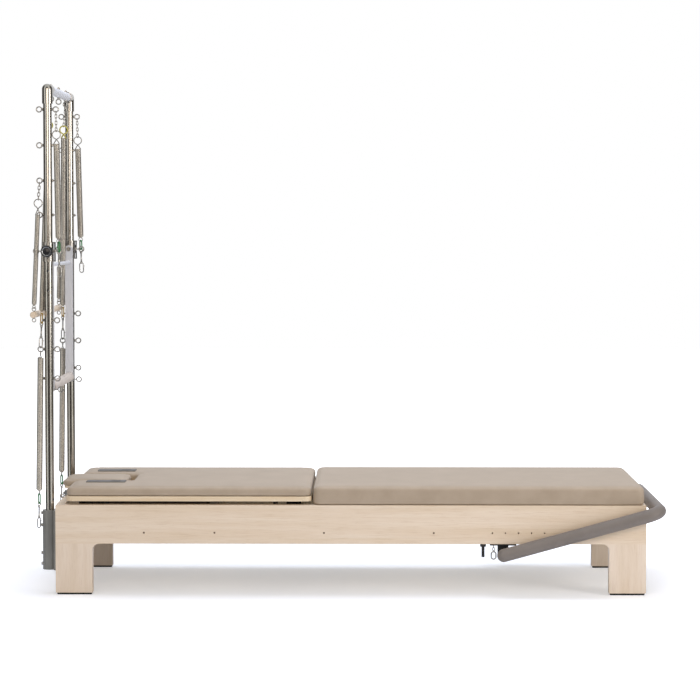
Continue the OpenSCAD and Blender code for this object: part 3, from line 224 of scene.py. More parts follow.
def collarSteel():
    # turned steel collars; the lever rod and the ears that carry it, on the bed's side, are painted black
    band = {"from": -5.6, "to": 3.6, "shank": 8.0, "pivot": 1397.0}
    material, tree, shader = newMaterial("turned steel collars with black levers")
    place = add(tree, "TexCoord", out="Object")
    x = add(tree, "SeparateXYZ", {"Vector": place}, "X")
    z = add(tree, "SeparateXYZ", {"Vector": place}, "Z")
    after = add(tree, "Math", {0: x, 1: float(at(band["from"], 0, 0)[0])}, operation="GREATER_THAN")
    before = add(tree, "Math", {0: x, 1: float(at(band["to"], 0, 0)[0])}, operation="LESS_THAN")
    above = add(tree, "Math", {0: z, 1: band["pivot"] * mm, 2: band["shank"] * mm}, operation="COMPARE")
    clear = add(tree, "Math", {0: 1.0, 1: above}, operation="SUBTRACT")
    inBand = add(tree, "Math", {0: after, 1: before}, operation="MULTIPLY")
    black = add(tree, "Math", {0: inBand, 1: clear}, operation="MULTIPLY")
    tree.links.new(add(tree, "Math", {0: 1.0, 1: black}, operation="SUBTRACT"), shader.inputs["Metallic"])
    turned = plan(tree, (0.1, 0.1, 1))
    hair = add(tree, "TexNoise", {"Vector": turned, "Scale": 1 / (1.1 * mm), "Detail": 3.0})
    steel = add(tree, "ValToRGB", {0: hair}, stops=[(0.3, "#a5a29d"), (0.7, "#c2bfba")])
    tint = add(tree, "Mix", {0: black, 6: steel, 7: linear("#18181b")}, 2, data_type="RGBA")
    finishWith(tree, shader, tint, hair, 0.2, 0.36, hair, 0.00004, 0.3, 0.0008)
    return material


def chromePlate():
    # bright nickel chrome on castings: near mirror, with faint handling marks
    material, tree, shader = newMaterial("chrome plated fittings", Metallic=1.0)
    smear = add(tree, "TexNoise", {"Vector": plan(tree), "Scale": 1 / (11 * mm), "Detail": 4.0,
                                   "Roughness": 0.65})
    tint = add(tree, "ValToRGB", {0: smear}, stops=[(0.3, "#b0afad"), (0.7, "#d6d5d3")])
    finishWith(tree, shader, tint, smear, 0.1, 0.24, smear, 0.00005, 0.3)
    return material


def anodised():
    # satin anodised aluminium bar: pale cool grey with very fine lengthwise lines
    material, tree, shader = newMaterial("satin anodised aluminium", Metallic=0.45)
    hair = add(tree, "TexNoise", {"Vector": plan(tree, (1, 1, 0.03)), "Scale": 1 / (1.0 * mm), "Detail": 3.0,
                                  "Roughness": 0.6})
    tint = add(tree, "ValToRGB", {0: hair}, stops=[(0.3, "#dcdde1"), (0.7, "#eeeff3")])
    finishWith(tree, shader, tint, hair, 0.42, 0.56, hair, 0.00003, 0.3, 0.0008)
    return material


def powderCoat(name, codes, grit=1.1, roughness=0.5, edge=0.001):
    # baked powder paint: even colour with a fine orange peel
    material, tree, shader = newMaterial(name, IOR=1.5, Specular_IOR_Level=0.5)
    peel = add(tree, "TexNoise", {"Vector": plan(tree), "Scale": 1 / (grit * mm), "Detail": 2.0})
    broad = add(tree, "TexNoise", {"Vector": plan(tree), "Scale": 1 / (60 * mm), "Detail": 3.0})
    tint = add(tree, "ValToRGB", {0: broad}, stops=[(0.3, codes[0]), (0.7, codes[1])])
    finishWith(tree, shader, tint, peel, roughness * 0.85, roughness * 1.15, peel, 0.00008, 0.45, edge)
    return material


def mouldedPlastic(name, codes, roughness=0.38, grit=0.9):
    # injection moulded nylon or a dipped coat: even, with a fine texture and softened edges
    material, tree, shader = newMaterial(name, IOR=1.53)
    grain = add(tree, "TexNoise", {"Vector": plan(tree), "Scale": 1 / (grit * mm), "Detail": 3.0,
                                   "Roughness": 0.6})
    tint = add(tree, "ValToRGB", {0: grain}, stops=[(0.35, codes[0]), (0.7, codes[1])])
    finishWith(tree, shader, tint, grain, roughness * 0.85, roughness * 1.2, grain, 0.00005, 0.4, 0.0008)
    return material


def phenolic():
    # black moulded knob with a painted highlight: a bright metallic ring drawn on its face
    ring = {"x": -28.0, "z": 1397.0, "radius": 16.5, "half": 1.3}
    material, tree, shader = newMaterial("black phenolic knob with a painted highlight ring", IOR=1.53)
    place = add(tree, "TexCoord", out="Object")
    centre = (float(at(ring["x"], 0, 0)[0]), 0, ring["z"] * mm)
    away = add(tree, "VectorMath", {0: place, 1: centre}, operation="SUBTRACT")
    flat = add(tree, "VectorMath", {0: away, 1: (1, 0, 1)}, operation="MULTIPLY")
    distance = add(tree, "VectorMath", {0: flat}, "Value", operation="LENGTH")
    isHighlightRing = add(tree, "Math", {0: distance, 1: ring["radius"] * mm, 2: ring["half"] * mm},
                 operation="COMPARE")
    grain = add(tree, "TexNoise", {"Vector": plan(tree), "Scale": 1 / (0.9 * mm), "Detail": 3.0})
    black = add(tree, "ValToRGB", {0: grain}, stops=[(0.35, "#1b1c20"), (0.7, "#26272c")])
    # painted highlight: a pale metallic ring on the knob's face
    tint = add(tree, "Mix", {0: isHighlightRing, 6: black, 7: linear("#a9abae")}, 2, data_type="RGBA")
    tree.links.new(isHighlightRing, shader.inputs["Metallic"])
    finishWith(tree, shader, tint, grain, 0.2, 0.3, grain, 0.00004, 0.4, 0.0008)
    return material


finishes = {
    "maple": hardMaple(),
    "plywood": birchPly(),
    "vinyl": upholsteryVinyl("taupe upholstery vinyl", ("#a69580", "#ad9c87", "#b4a38f")),
    "gripVinyl": upholsteryVinyl("pale grip vinyl", ("#bdb0a4", "#c8bcb0", "#d0c5ba"), 1.2),
    "barVinyl": upholsteryVinyl("grey brown grip vinyl", ("#746c65", "#7b736c", "#827a73"), 1.3),
    "post": postSteel(),
    "tube": drawnSteel("polished stainless elbow", "#c4c1bb", "#a7a39c", 0.17),
    "steel": drawnSteel("bright steel fittings", "#bdbbb7", "#9b9894", 0.24, (1, 1, 1), 1.6),
    "axle": drawnSteel("ground steel rod", "#b9b8b5", "#9a9996", 0.24, (1, 0.02, 1), 1.0),
    "footTube": drawnSteel("bent steel tube", "#b5b4b1", "#989692", 0.28, (0.05, 1, 1), 1.4),
    "spring": drawnSteel("bright spring wire", "#dcd6cb", "#c6c0b5", 0.27, (1, 1, 1), 2.2, 0, 0.92),
    "chrome": chromePlate(),
    "collar": collarSteel(),
    # painted shade: the tracks are coloured dark bronze to stand for the deep shade in the gap under the
    # carriage
    "gapShadeTrack": powderCoat("track painted with the gap's shade", ("#54483e", "#605448"), roughness=0.45),
    "aluminium": anodised(),
    "black": powderCoat("black powder coat", ("#141416", "#1c1c1f")),
    "greyPaint": powderCoat("grey powder coat", ("#767570", "#807f79"), roughness=0.2),
    "plate": powderCoat("grey coated plate", ("#696764", "#73716e"), roughness=0.55),
    "screw": powderCoat("bronzed screw heads", ("#54402f", "#6a523c"), roughness=0.32),
    "rubber": mouldedPlastic("black foot rubber", ("#171717", "#202020"), 0.7),
    "nylon": mouldedPlastic("black nylon", ("#16171a", "#1f2024")),
    "knob": phenolic(),
    "green": mouldedPlastic("green dipped clip", ("#1f7a3c", "#2b8f4a"), 0.32),
    "mustard": mouldedPlastic("mustard dipped clip", ("#b08d34", "#c4a149"), 0.32),
    "yellowRing": mouldedPlastic("pale yellow dipped ring", ("#b3a746", "#cdc365"), 0.3),
}
painted = {
    "maple": ["near_side_rail", "far_side_rail", "head_end_board", "foot_end_board", "roll_down_bar"],
    "plywood": ["cross_braces", "carriage_board", "headrest_board", "mat_board"],
    "vinyl": ["carriage_pad", "headrest_pad", "mat_pad"],
    "gripVinyl": ["push_bar_grip"],
    "barVinyl": ["footbar_grip"],
    "post": ["near_post", "far_post"],
    "tube": ["corner_elbows"],
    "axle": ["wheel_axles", "spring_hanger", "spring_bar", "headrest_hinge"],
    "steel": ["tower_eyebolts", "socket_bolts", "push_bar_fittings", "roll_down_hardware"],
    "footTube": ["footbar_tube"],
    "spring": ["long_springs", "near_arm_spring", "far_arm_spring", "near_leg_spring", "far_leg_spring",
               "roll_down_springs", "carriage_springs"],
    "chrome": ["strap_hooks", "rope_eyes", "long_spring_hardware", "near_arm_hardware", "far_arm_hardware",
               "near_leg_hardware", "far_leg_hardware"],
    "aluminium": ["push_bar_arms", "top_cross_tube"],
    # the tracks take the dark colour that paints the shade under the carriage
    "gapShadeTrack": ["near_track", "far_track"],
    "collar": ["push_bar_collars"],
    "black": ["footbar_brackets", "wheel_brackets"],
    "greyPaint": ["near_post_socket", "far_post_socket"],
    "plate": ["shoulder_plates"],
    "screw": ["rail_screws"],
    "rubber": ["leg_pads"],
    "nylon": ["head_wheels", "foot_wheels", "near_head_guide", "far_head_guide", "near_foot_guide",
              "far_foot_guide"],
    "knob": ["near_pull_knob", "far_pull_knob"],
}
for finish, names in painted.items():
    for name in names:
        nodes[name].data.materials.clear()
        nodes[name].data.materials.append(finishes[finish])
print("materials made:", len(finishes))


# Surfaces from arrays

def gridFaces(rows, columns, start, loop):
    # the quads of a grid of points whose columns close on themselves, and its rows too where loop is set
    i = np.arange(rows if loop else rows - 1)[:, None]
    j = np.arange(columns)[None, :]
    after, beside = (i + 1) % rows, (j + 1) % columns
    corners = (i * columns + j, after * columns + j, after * columns + beside, i * columns + beside)
    return np.stack([start + c + 0 * (i + j) for c in corners], -1).reshape(-1, 4)


def buildPiece(name, grids, material, body, replaces=()):
    # grids are (points, loop): a closed tube skin of shape (rows, columns, 3); open ends are closed by a fan
    points, quads, fans, start = [], [], [], 0
    for grid, loop in grids:
        rows, columns = grid.shape[:2]
        points.append(grid.reshape(-1, 3))
        quads.append(gridFaces(rows, columns, start, loop))
        used = start + rows * columns
        if not loop:
            points.append(np.stack([grid[0].mean(0), grid[-1].mean(0)]))
            j = np.arange(columns)
            first, last = start + j, start + (rows - 1) * columns + j
            fans.append(np.stack([np.roll(first, -1), np.full(columns, used), first], -1))
            fans.append(np.stack([last, np.full(columns, used + 1), np.roll(last, -1)], -1))
            used += 2
        start = used
    mesh = bpy.data.meshes.new(name)
    faces = np.concatenate(quads).tolist() + (np.concatenate(fans).tolist() if fans else [])
    mesh.from_pydata(np.concatenate(points), [], faces)
    mesh.polygons.foreach_set("use_smooth", np.ones(len(mesh.polygons), bool))
    mesh.update()
    mesh.materials.append(material)
    piece = bpy.data.objects.new(name, mesh)
    scene.collection.objects.link(piece)
    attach(piece, body)
    if replaces:
        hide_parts(*replaces)
    return piece


def tubeSkin(path, radius, sides, reference, loop=False, press=1.0):
    # points round a path: each ring is the path's point plus radius times a circle across its direction,
    # the circle's first axis, pressed flatter by a factor, being the reference crossed with the direction
    if loop:
        ahead = np.roll(path, -1, 0) - np.roll(path, 1, 0)
    else:
        ahead = np.gradient(path, axis=0)
    ahead /= np.linalg.norm(ahead, axis=1, keepdims=True)
    side = np.cross(np.broadcast_to(reference, ahead.shape), ahead)
    side /= np.linalg.norm(side, axis=1, keepdims=True)
    up = np.cross(ahead, side)
    a = np.linspace(0, 2 * math.pi, sides, endpoint=False)[None, :, None]
    radius = np.broadcast_to(radius, (len(path),))[:, None, None]
    return path[:, None] + radius * (press * np.cos(a) * side[:, None] + np.sin(a) * up[:, None]), loop


def hung(points, top, low, turn=0.0):
    # points made about the origin, hanging down -z, moved to hang from top towards low and turned about that
    # line
    down = (low - top) / np.linalg.norm(low - top)
    a = math.asin(down[1])
    b = -math.atan2(down[0], -down[2])
    spin = np.array([[math.cos(turn), -math.sin(turn), 0], [math.sin(turn), math.cos(turn), 0], [0, 0, 1]])
    tiltY = np.array([[math.cos(b), 0, math.sin(b)], [0, 1, 0], [-math.sin(b), 0, math.cos(b)]])
    tiltX = np.array([[1, 0, 0], [0, math.cos(a), -math.sin(a)], [0, math.sin(a), math.cos(a)]])
    return points @ (tiltY @ tiltX @ spin).T + top


# Springs, chains, clips and snap hooks

def stepToward(top, low, distance):
    # the point that many millimetres from top towards low
    return top + (low - top) / np.linalg.norm(low - top) * distance * mm


def onRing(eye, low):
    # the point of an eyebolt ring's wire that something leading to low hangs on
    down = (low - eye) * np.array([1, 0, 1])
    return eye + down / np.linalg.norm(down) * towerSizes["ring"] * mm


towerSizes = {"postX": -28, "postY": 296.5, "eyeReach": 34, "ring": 10.5, "arm": 1971, "roll": 1683,
              "leg": 998, "cross": 2053}
# pressed: how flat the coil's wire is drawn, which keeps its shine in one band at a distance
springSizes = {"wire": 1.5, "pressed": 0.5, "pitch": 3.06, "bend": 10, "coneTurns": 3.0, "tip": 0.3,
               "neck": 30, "loop": 16.5, "loopWire": 2.1, "apart": 0.15, "lower": 10, "gapStart": 0.05,
               "gapEnd": 0.4}
chainSizes = {"links": 6, "width": 7.8, "wire": 1.6, "play": 0.3, "up": 4.4, "joint": 4.05, "length": 74}
clipSizes = {"length": 40, "width": 15, "wire": 2.7, "up": 4.55, "turn": 0.7}
snapSizes = {"length": 105, "loopLength": 42, "eye": 7, "wire": 2.2, "bend": 8, "barrel": 5, "body": 3.4,
             "up": 4.8}


def springSkins(length, coil, topLoop, neck, lowLoop, top, low, turn, loopWire=1.5, sides=8, steps=12):
    # a close wound coil: a circle carried down the axis by one pitch a turn and drawn in over its last
    # turns; above it the wire's two ends cross in the neck and go round the top loop, a circle in one plane
    s = springSizes
    r0 = coil - s["wire"] * s["pressed"]
    z0, z1 = -2 * topLoop - neck, 2 * lowLoop - length
    turns = round((z0 - z1) / s["pitch"])
    t = np.linspace(0, turns, turns * steps + 1)
    ease = np.clip((turns - t) / s["coneTurns"], 0, 1)
    r = r0 * (s["tip"] + (1 - s["tip"]) * np.sin(ease * math.pi / 2))
    angle = t * 2 * math.pi
    helix = np.stack([r * np.cos(angle), r * np.sin(angle), z0 + (z1 - z0) * t / turns], -1)
    lean = math.atan2(topLoop + neck, r0) - math.asin(topLoop / math.hypot(r0, topLoop + neck))
    lean /= 2
    a = np.linspace(lean, 2 * math.pi - lean, 40)
    ring = np.stack([topLoop * np.sin(a), 0 * a, -topLoop - topLoop * np.cos(a)], -1)
    # each end bends from the coil's edge to the ring by a quadratic curve whose middle point lies on the
    # ring's tangent; where they cross they stand beside each other
    u = np.linspace(0, 1, 12, endpoint=False)[:, None]
    bend = ring[0] - s["bend"] * np.array([math.cos(lean), 0, math.sin(lean)])
    beside = (loopWire + s["apart"]) * np.cos(u * math.pi / 2) * np.array([0, 1, 0])
    edge = np.array([-r0, 0, z0 - 1])
    left = (1 - u) ** 2 * edge + 2 * u * (1 - u) * bend + u ** 2 * ring[0] + beside
    right = left[::-1] * np.array([-1, -1, 1])
    acrossIt = np.array([0, 1.0, 0])
    upright = np.array([0, 0, 1.0])
    # below, the wire comes down the middle and goes round the low loop, which stays a little open
    a = np.linspace(s["gapStart"], 2 * math.pi - s["gapEnd"], 36)
    stem = np.array([[0, 0, z1 + k] for k in (7.0, 4.0, 1.5)])
    lowRing = np.stack([-lowLoop * np.sin(a), 0 * a, -length + lowLoop + lowLoop * np.cos(a)], -1)
    skins = [(helix, s["wire"], upright, s["pressed"]),
             (np.concatenate([left, ring, right]), loopWire, acrossIt, 1),
             (np.concatenate([stem, lowRing]), s["wire"], acrossIt, 1)]
    made = []
    for path, wire, reference, press in skins:
        skin, loop = tubeSkin(path * mm, wire * mm, sides, reference, False, press)
        made.append((hung(skin, top, low, turn), loop))
    return made


def ovalSkin(drop, length, width, wire, turned=False):
    # a closed link hanging down: two half circles joined by straight sides, across Y, or across X where
    # turned
    a = np.linspace(0, 2 * math.pi, 40, endpoint=False) + 0.01
    lateral = width / 2 * np.cos(a)
    upright = -drop - length / 2 + np.sign(np.sin(a)) * (length - width) / 2 + width / 2 * np.sin(a)
    flat = 0 * a
    path = np.stack([lateral, flat, upright] if turned else [flat, lateral, upright], -1)
    return tubeSkin(path * mm, wire * mm, 10, np.array([0, 1.0, 0] if turned else [1.0, 0, 0]), True)


def chainSkins(length, top, low):
    # links turned a quarter from one to the next, each through the last
    c = chainSizes
    over = 2 * c["wire"] + c["play"]
    pitch = (length - over) / c["links"]
    made = [ovalSkin(i * pitch - c["up"], pitch + over, c["width"], c["wire"], i % 2 == 1)
            for i in range(c["links"])]
    return [(hung(skin, top, low), loop) for skin, loop in made]


def snapSkins(start, top, low, turn):
    # swivel eye, a turned barrel and body, then a hook loop with its gate and thumb stud
    s = snapSizes
    hookTop = s["loopLength"] - s["length"]
    a = np.linspace(0, 2 * math.pi, 32, endpoint=False)
    eye = np.stack([s["eye"] * np.cos(a), 0 * a, s["eye"] * (np.sin(a) - 1)], -1)
    made = [tubeSkin(eye * mm, s["wire"] * mm, 10, np.array([0, 1.0, 0]), True)]
    barrel, body, eyeLow = s["barrel"], s["body"], -2 * s["eye"]
    # radius and height of the turned part's edges, from the eye down
    profile = np.array([
        (0.4, eyeLow + 1), (barrel * 0.8, eyeLow + 0.6), (barrel, eyeLow - 0.6), (barrel, eyeLow - 6.4),
        (barrel * 0.85, eyeLow - 7.6), (body, eyeLow - 9), (body * 0.86, (eyeLow + hookTop) / 2),
        (body, hookTop + 6), (5.3, hookTop + 4), (5.6, hookTop + 1), (5.2, hookTop - 2.4), (3, hookTop - 4)])
    a = np.linspace(0, 2 * math.pi, 20, endpoint=False)[None, ::-1]
    radii, heights = profile[:, :1], profile[:, 1:]
    made.append((np.stack([radii * np.cos(a), radii * np.sin(a), heights + 0 * a], -1) * mm, False))
    made.append(ovalSkin(-hookTop, s["length"] + hookTop, 2 * s["bend"], s["wire"], True))
    stud = np.array([(s["bend"] + k, 0, hookTop - s["bend"] - 5) for k in (-1, 2.6, 3, 5)])
    made.append(tubeSkin(stud * mm, np.array([1.3, 1.3, 2.2, 2.2]) * mm, 10, np.array([0, 1.0, 0])))
    gate = np.array([(s["bend"] + 0.4, 0, -s["length"] + k) for k in (9, 12, 26, 30)])
    made.append(tubeSkin(gate * mm, np.array([1.6, 2.4, 2.4, 1.6]) * mm, 10, np.array([0, 1.0, 0])))
    turnBy = np.array([[math.cos(turn), -math.sin(turn), 0], [math.sin(turn), math.cos(turn), 0], [0, 0, 1]])
    return [(hung(skin @ turnBy.T - np.array([0, 0, start * mm]), top, low), loop) for skin, loop in made]


def clipAndSnap(reach, top, low, turn):
    # the coloured clip through a spring's low loop, and the snap hook below it
    c = clipSizes
    drop = reach - c["up"]
    skin, loop = ovalSkin(drop, c["length"], c["width"], c["wire"])
    snap = snapSkins(drop + c["length"] - snapSizes["up"], top, low, turn)
    return [(hung(skin, top, low, c["turn"]), loop)], snap


def onSide(side, x, y, z):
    # a place on the near side, -1, or the far side, 1
    return at(x, side * y, z)


t = towerSizes
rightX, leftX = t["postX"] + t["eyeReach"], t["postX"] - t["eyeReach"]
loopDrop = chainSizes["length"] - chainSizes["up"] - chainSizes["joint"]
lower, topLoop, ringWire = springSizes["lower"], springSizes["loop"], springSizes["loopWire"]
neckLeft = springSizes["neck"] - lower

# outX and outY are steps from the eyebolts and from the posts' plane
armSizes = {"outX": 11, "outY": 16, "lowZ": 1430, "coil": 12.8, "lowLoop": 8}
legSizes = {"outX": -9, "outY": 4, "lowZ": 403, "coil": 12.8, "topLoop": 9, "neck": 10, "lowLoop": 8,
            "twist": math.pi / 2, "turn": 0.9}
longSizes = {"jointX": -10, "jointY": 203, "jointZ": 1927, "eyeY": 200, "coil": 11.8, "lowLoop": 6,
             "loopWire": 2.9, "turn": 0.9}
rollSizes = {"jointX": -3, "jointY": 13.5, "jointUp": 1, "lowX": -55, "lowY": 30.5, "lowZ": 1165.45,
             "coil": 9.8, "lowLoop": 6}


def armSet(side, word):
    # chain from the eyebolt on the bed's side, spring, green clip and snap hook, on one line
    a = armSizes
    low = onSide(side, rightX + a["outX"], t["postY"] + a["outY"], a["lowZ"])
    top = onRing(onSide(side, rightX, t["postY"], t["arm"]), low)
    joint = stepToward(top, low, loopDrop + lower)
    span = np.linalg.norm(low - joint) / mm
    body = word + "_arm_set"
    skins = springSkins(span, a["coil"], topLoop, neckLeft, a["lowLoop"], joint, low, 0, ringWire)
    buildPiece(word + "ArmCoil", [skins[0]], finishes["spring"], body, [word + "_arm_spring"])
    buildPiece(word + "ArmLoops", skins[1:], finishes["steel"], body)
    clip, snap = clipAndSnap(np.linalg.norm(low - top) / mm, top, low, 0)
    buildPiece(word + "ArmSnap", snap, finishes["chrome"], body, [word + "_arm_hardware"])
    chain = chainSkins(chainSizes["length"] + lower, top, low)
    buildPiece(word + "ArmChain", chain, finishes["steel"], body)
    buildPiece(word + "ArmClip", clip, finishes["green"], body)


def legSet(side, word):
    # spring hooked straight on the low eyebolt outside the bed, with its green clip and snap hook
    g = legSizes
    low = onSide(side, leftX + g["outX"], t["postY"] + g["outY"], g["lowZ"])
    top = onRing(onSide(side, leftX, t["postY"], t["leg"]), low)
    start = stepToward(top, low, -clipSizes["up"])
    span = np.linalg.norm(low - start) / mm
    body = word + "_leg_set"
    skins = springSkins(span, g["coil"], g["topLoop"], g["neck"], g["lowLoop"], start, low, g["twist"])
    buildPiece(word + "LegCoil", [skins[0]], finishes["spring"], body, [word + "_leg_spring"])
    buildPiece(word + "LegLoops", skins[1:], finishes["steel"], body)
    clip, snap = clipAndSnap(np.linalg.norm(low - top) / mm, top, low, g["turn"])
    buildPiece(word + "LegSnap", snap, finishes["chrome"], body, [word + "_leg_hardware"])
    buildPiece(word + "LegClip", clip, finishes["green"], body)


def longSpring(side):
    # from the cross tube down to the low eyebolt: chain, spring with a dipped top loop, clip and snap hook
    g = longSizes
    joint = onSide(side, t["postX"] + g["jointX"], g["jointY"], g["jointZ"])
    top = onRing(onSide(side, t["postX"], g["eyeY"], t["cross"] - t["eyeReach"]), joint)
    fromRing = np.linalg.norm(joint - top) / mm
    chain = chainSkins(fromRing + chainSizes["up"] + chainSizes["joint"], top, joint)
    legEye = onSide(side, leftX, t["postY"], t["leg"])
    snapEnd = t["ring"] - snapSizes["up"]
    hooked = clipSizes["up"] + snapSizes["up"]
    below = snapEnd + snapSizes["length"] + clipSizes["length"] - hooked
    reach = np.linalg.norm(legEye - joint) / mm - below
    end = stepToward(joint, legEye, reach)
    skins = springSkins(reach, g["coil"], topLoop, neckLeft, g["lowLoop"], joint, end, 0, g["loopWire"])
    clip, snap = clipAndSnap(reach, joint, legEye, g["turn"])
    return [skins[0], skins[2]], [skins[1]], chain, clip, snap


def rollSpring(side):
    # from the eyebolt behind the post down to the roll down bar
    g = rollSizes
    jointZ = t["roll"] - t["ring"] - loopDrop + g["jointUp"]
    joint = onSide(side, leftX + g["jointX"], t["postY"] + g["jointY"], jointZ)
    low = onSide(side, t["postX"] + g["lowX"], t["postY"] + g["lowY"], g["lowZ"])
    span = np.linalg.norm(low - joint) / mm
    return springSkins(span, g["coil"], topLoop, springSizes["neck"], g["lowLoop"], joint, low, 0, ringWire)


longSkins, rings, longChains, longClips, longSnaps, rollSkins, rollLoops = [], [], [], [], [], [], []
for side, word in ((-1, "near"), (1, "far")):
    armSet(side, word)
    legSet(side, word)
    coils, ring, chain, clip, snap = longSpring(side)
    longSkins += coils
    rings += ring
    longChains += chain
    longClips += clip
    longSnaps += snap
    skins = rollSpring(side)
    rollSkins.append(skins[0])
    rollLoops += skins[1:]
buildPiece("longCoils", longSkins, finishes["spring"], "frame", ["long_springs"])
buildPiece("longLoops", rings, finishes["yellowRing"], "frame")
buildPiece("longSnaps", longSnaps, finishes["chrome"], "frame", ["long_spring_hardware"])
buildPiece("longChains", longChains, finishes["steel"], "frame")
buildPiece("longClips", longClips, finishes["mustard"], "frame")
buildPiece("rollDownCoils", rollSkins, finishes["spring"], "roll_down_set", ["roll_down_springs"])
buildPiece("rollDownLoops", rollLoops, finishes["steel"], "roll_down_set")

# small snap hooks that hang from an eye under each rail
strapHooks = {"x": 1782, "y": 322.5, "z": 209, "stem": 19, "stemWire": 1.9, "eyeTop": 17, "eyeLength": 12,
              "eye": 10, "eyeWire": 1.5, "hookTop": 34, "hook": 19, "hookWire": 2.6, "low": 64}
hookSkins = []
for side in (-1, 1):
    h = strapHooks
    top = onSide(side, h["x"], h["y"], h["z"])
    below = top - np.array([0, 0, 0.1])
    acrossIt = np.array([0, 1.0, 0])
    stem = np.array([(0, 0, z) for z in (0.5, -6, -12, -h["stem"])])
    barrel = np.array([(0, 0, z) for z in (-27.5, -29, -35, -36.5)])
    radii = np.array([2.4, 3.4, 3.4, 2.4])
    skins = [tubeSkin(stem * mm, h["stemWire"] * mm, 10, acrossIt),
             ovalSkin(h["eyeTop"], h["eyeLength"], h["eye"], h["eyeWire"], True),
             tubeSkin(barrel * mm, radii * mm, 12, acrossIt),
             ovalSkin(h["hookTop"], h["low"] - h["hookTop"], h["hook"], h["hookWire"], True)]
    hookSkins += [(hung(skin, top, below), loop) for skin, loop in skins]
buildPiece("strapHooks", hookSkins, finishes["steel"], "frame", ["strap_hooks"])

# the carriage's five springs lean from its hanger down to the spring bar, which is run further on
carriageSprings = {"x": 636, "z": 344.05, "barZ": 314, "run": 332, "pitch": 80, "length": 536, "coil": 12.5,
                   "neck": 8, "loop": 9, "wire": 1.5, "sides": 6, "steps": 10}
bedSkins = []
for i in range(-2, 3):
    c = carriageSprings
    tilt = math.atan2(c["z"] - c["barZ"], c["run"])
    middle = at(c["x"], i * c["pitch"], c["z"])
    way = np.array([math.cos(tilt), 0, -math.sin(tilt)])
    top, low = middle - way * c["loop"] * mm, middle + way * (c["length"] + c["loop"]) * mm
    whole = c["length"] + 2 * c["loop"]
    bedSkins += springSkins(whole, c["coil"], c["loop"], c["neck"], c["loop"], top, low, 0, c["wire"],
                            c["sides"], c["steps"])
buildPiece("carriageCoils", bedSkins, finishes["spring"], "carriage", ["carriage_springs"])
print("springs wound, chains and hooks hung")


# Pads

def padFromSolid(node, name, voxel, rise, side, body):
    # the pad's skin over foam: the solid is remeshed, made lower by a part of the rise, blown up as cloth
    # while its lower part is held, and its travel capped; rise and side are the caps in mm
    settings = {"frames": 14, "pressure": 4.0, "shrink": 0.7, "held": 0.25, "sink": 0.5, "quality": 4}
    piece = bpy.data.objects.new(name, nodes[node].data.copy())
    scene.collection.objects.link(piece)
    bpy.context.view_layer.objects.active = piece
    piece.select_set(True)
    weld = piece.modifiers.new("weld", "WELD")
    weld.merge_threshold = 0.1 * mm
    bpy.ops.object.modifier_apply(modifier=weld.name)
    piece.data.remesh_voxel_size = voxel * mm
    piece.data.use_remesh_preserve_volume = False
    bpy.ops.object.voxel_remesh()
    low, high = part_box(node)
    count = len(piece.data.vertices)
    rest = np.zeros(count * 3)
    piece.data.vertices.foreach_get("co", rest)
    rest = rest.reshape(-1, 3)
    tall = high.z - low.z
    rest[:, 2] = low.z + (rest[:, 2] - low.z) * (1 - settings["shrink"] * rise * mm / tall)
    piece.data.vertices.foreach_set("co", rest.ravel())
    held = piece.vertex_groups.new(name="held")
    isHeld = rest[:, 2] < low.z + settings["held"] * tall
    held.add(np.nonzero(isHeld)[0].tolist(), 1.0, "REPLACE")
    cloth = piece.modifiers.new("swell", "CLOTH")
    cloth.settings.vertex_group_mass = "held"
    cloth.settings.use_pressure = True
    cloth.settings.uniform_pressure_force = settings["pressure"]
    cloth.settings.effector_weights.gravity = 0
    cloth.settings.quality = settings["quality"]
    cloth.point_cache.frame_end = settings["frames"]
    for step in range(1, settings["frames"] + 1):
        scene.frame_set(step)
    blown = piece.evaluated_get(bpy.context.evaluated_depsgraph_get()).data
    swollen = np.zeros(count * 3)
    blown.vertices.foreach_get("co", swollen)
    travel = swollen.reshape(-1, 3) - rest
    piece.modifiers.remove(cloth)
    flat = np.linalg.norm(travel[:, :2], axis=1)
    travel[:, :2] *= np.minimum(1, side * mm / np.maximum(flat, 1e-9))[:, None]
    travel[:, 2] = np.clip(travel[:, 2], -settings["sink"] * mm, rise * mm)
    rest += travel
    scene.frame_set(1)
    piece.data.vertices.foreach_set("co", rest.ravel())
    piece.data.update()
    smooth = piece.modifiers.new("smooth", "SMOOTH")
    smooth.iterations = 1
    bpy.ops.object.modifier_apply(modifier=smooth.name)
    fine = piece.modifiers.new("fine", "SUBSURF")
    fine.levels = fine.render_levels = 1
    bpy.ops.object.modifier_apply(modifier=fine.name)
    piece.data.polygons.foreach_set("use_smooth", np.ones(len(piece.data.polygons), bool))
    piece.data.materials.clear()
    piece.data.materials.append(finishes["vinyl"])
    piece.select_set(False)
    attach(piece, body)
    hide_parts(node)
    print(name, "made,", len(piece.data.polygons), "faces")


padFromSolid("carriage_pad", "carriagePad", 6, 3, 0.5, "carriage")
padFromSolid("headrest_pad", "headrestPad", 4, 3, 0.5, "headrest")
padFromSolid("mat_pad", "matPad", 6, 3.5, 0.5, "mat")


# Studio

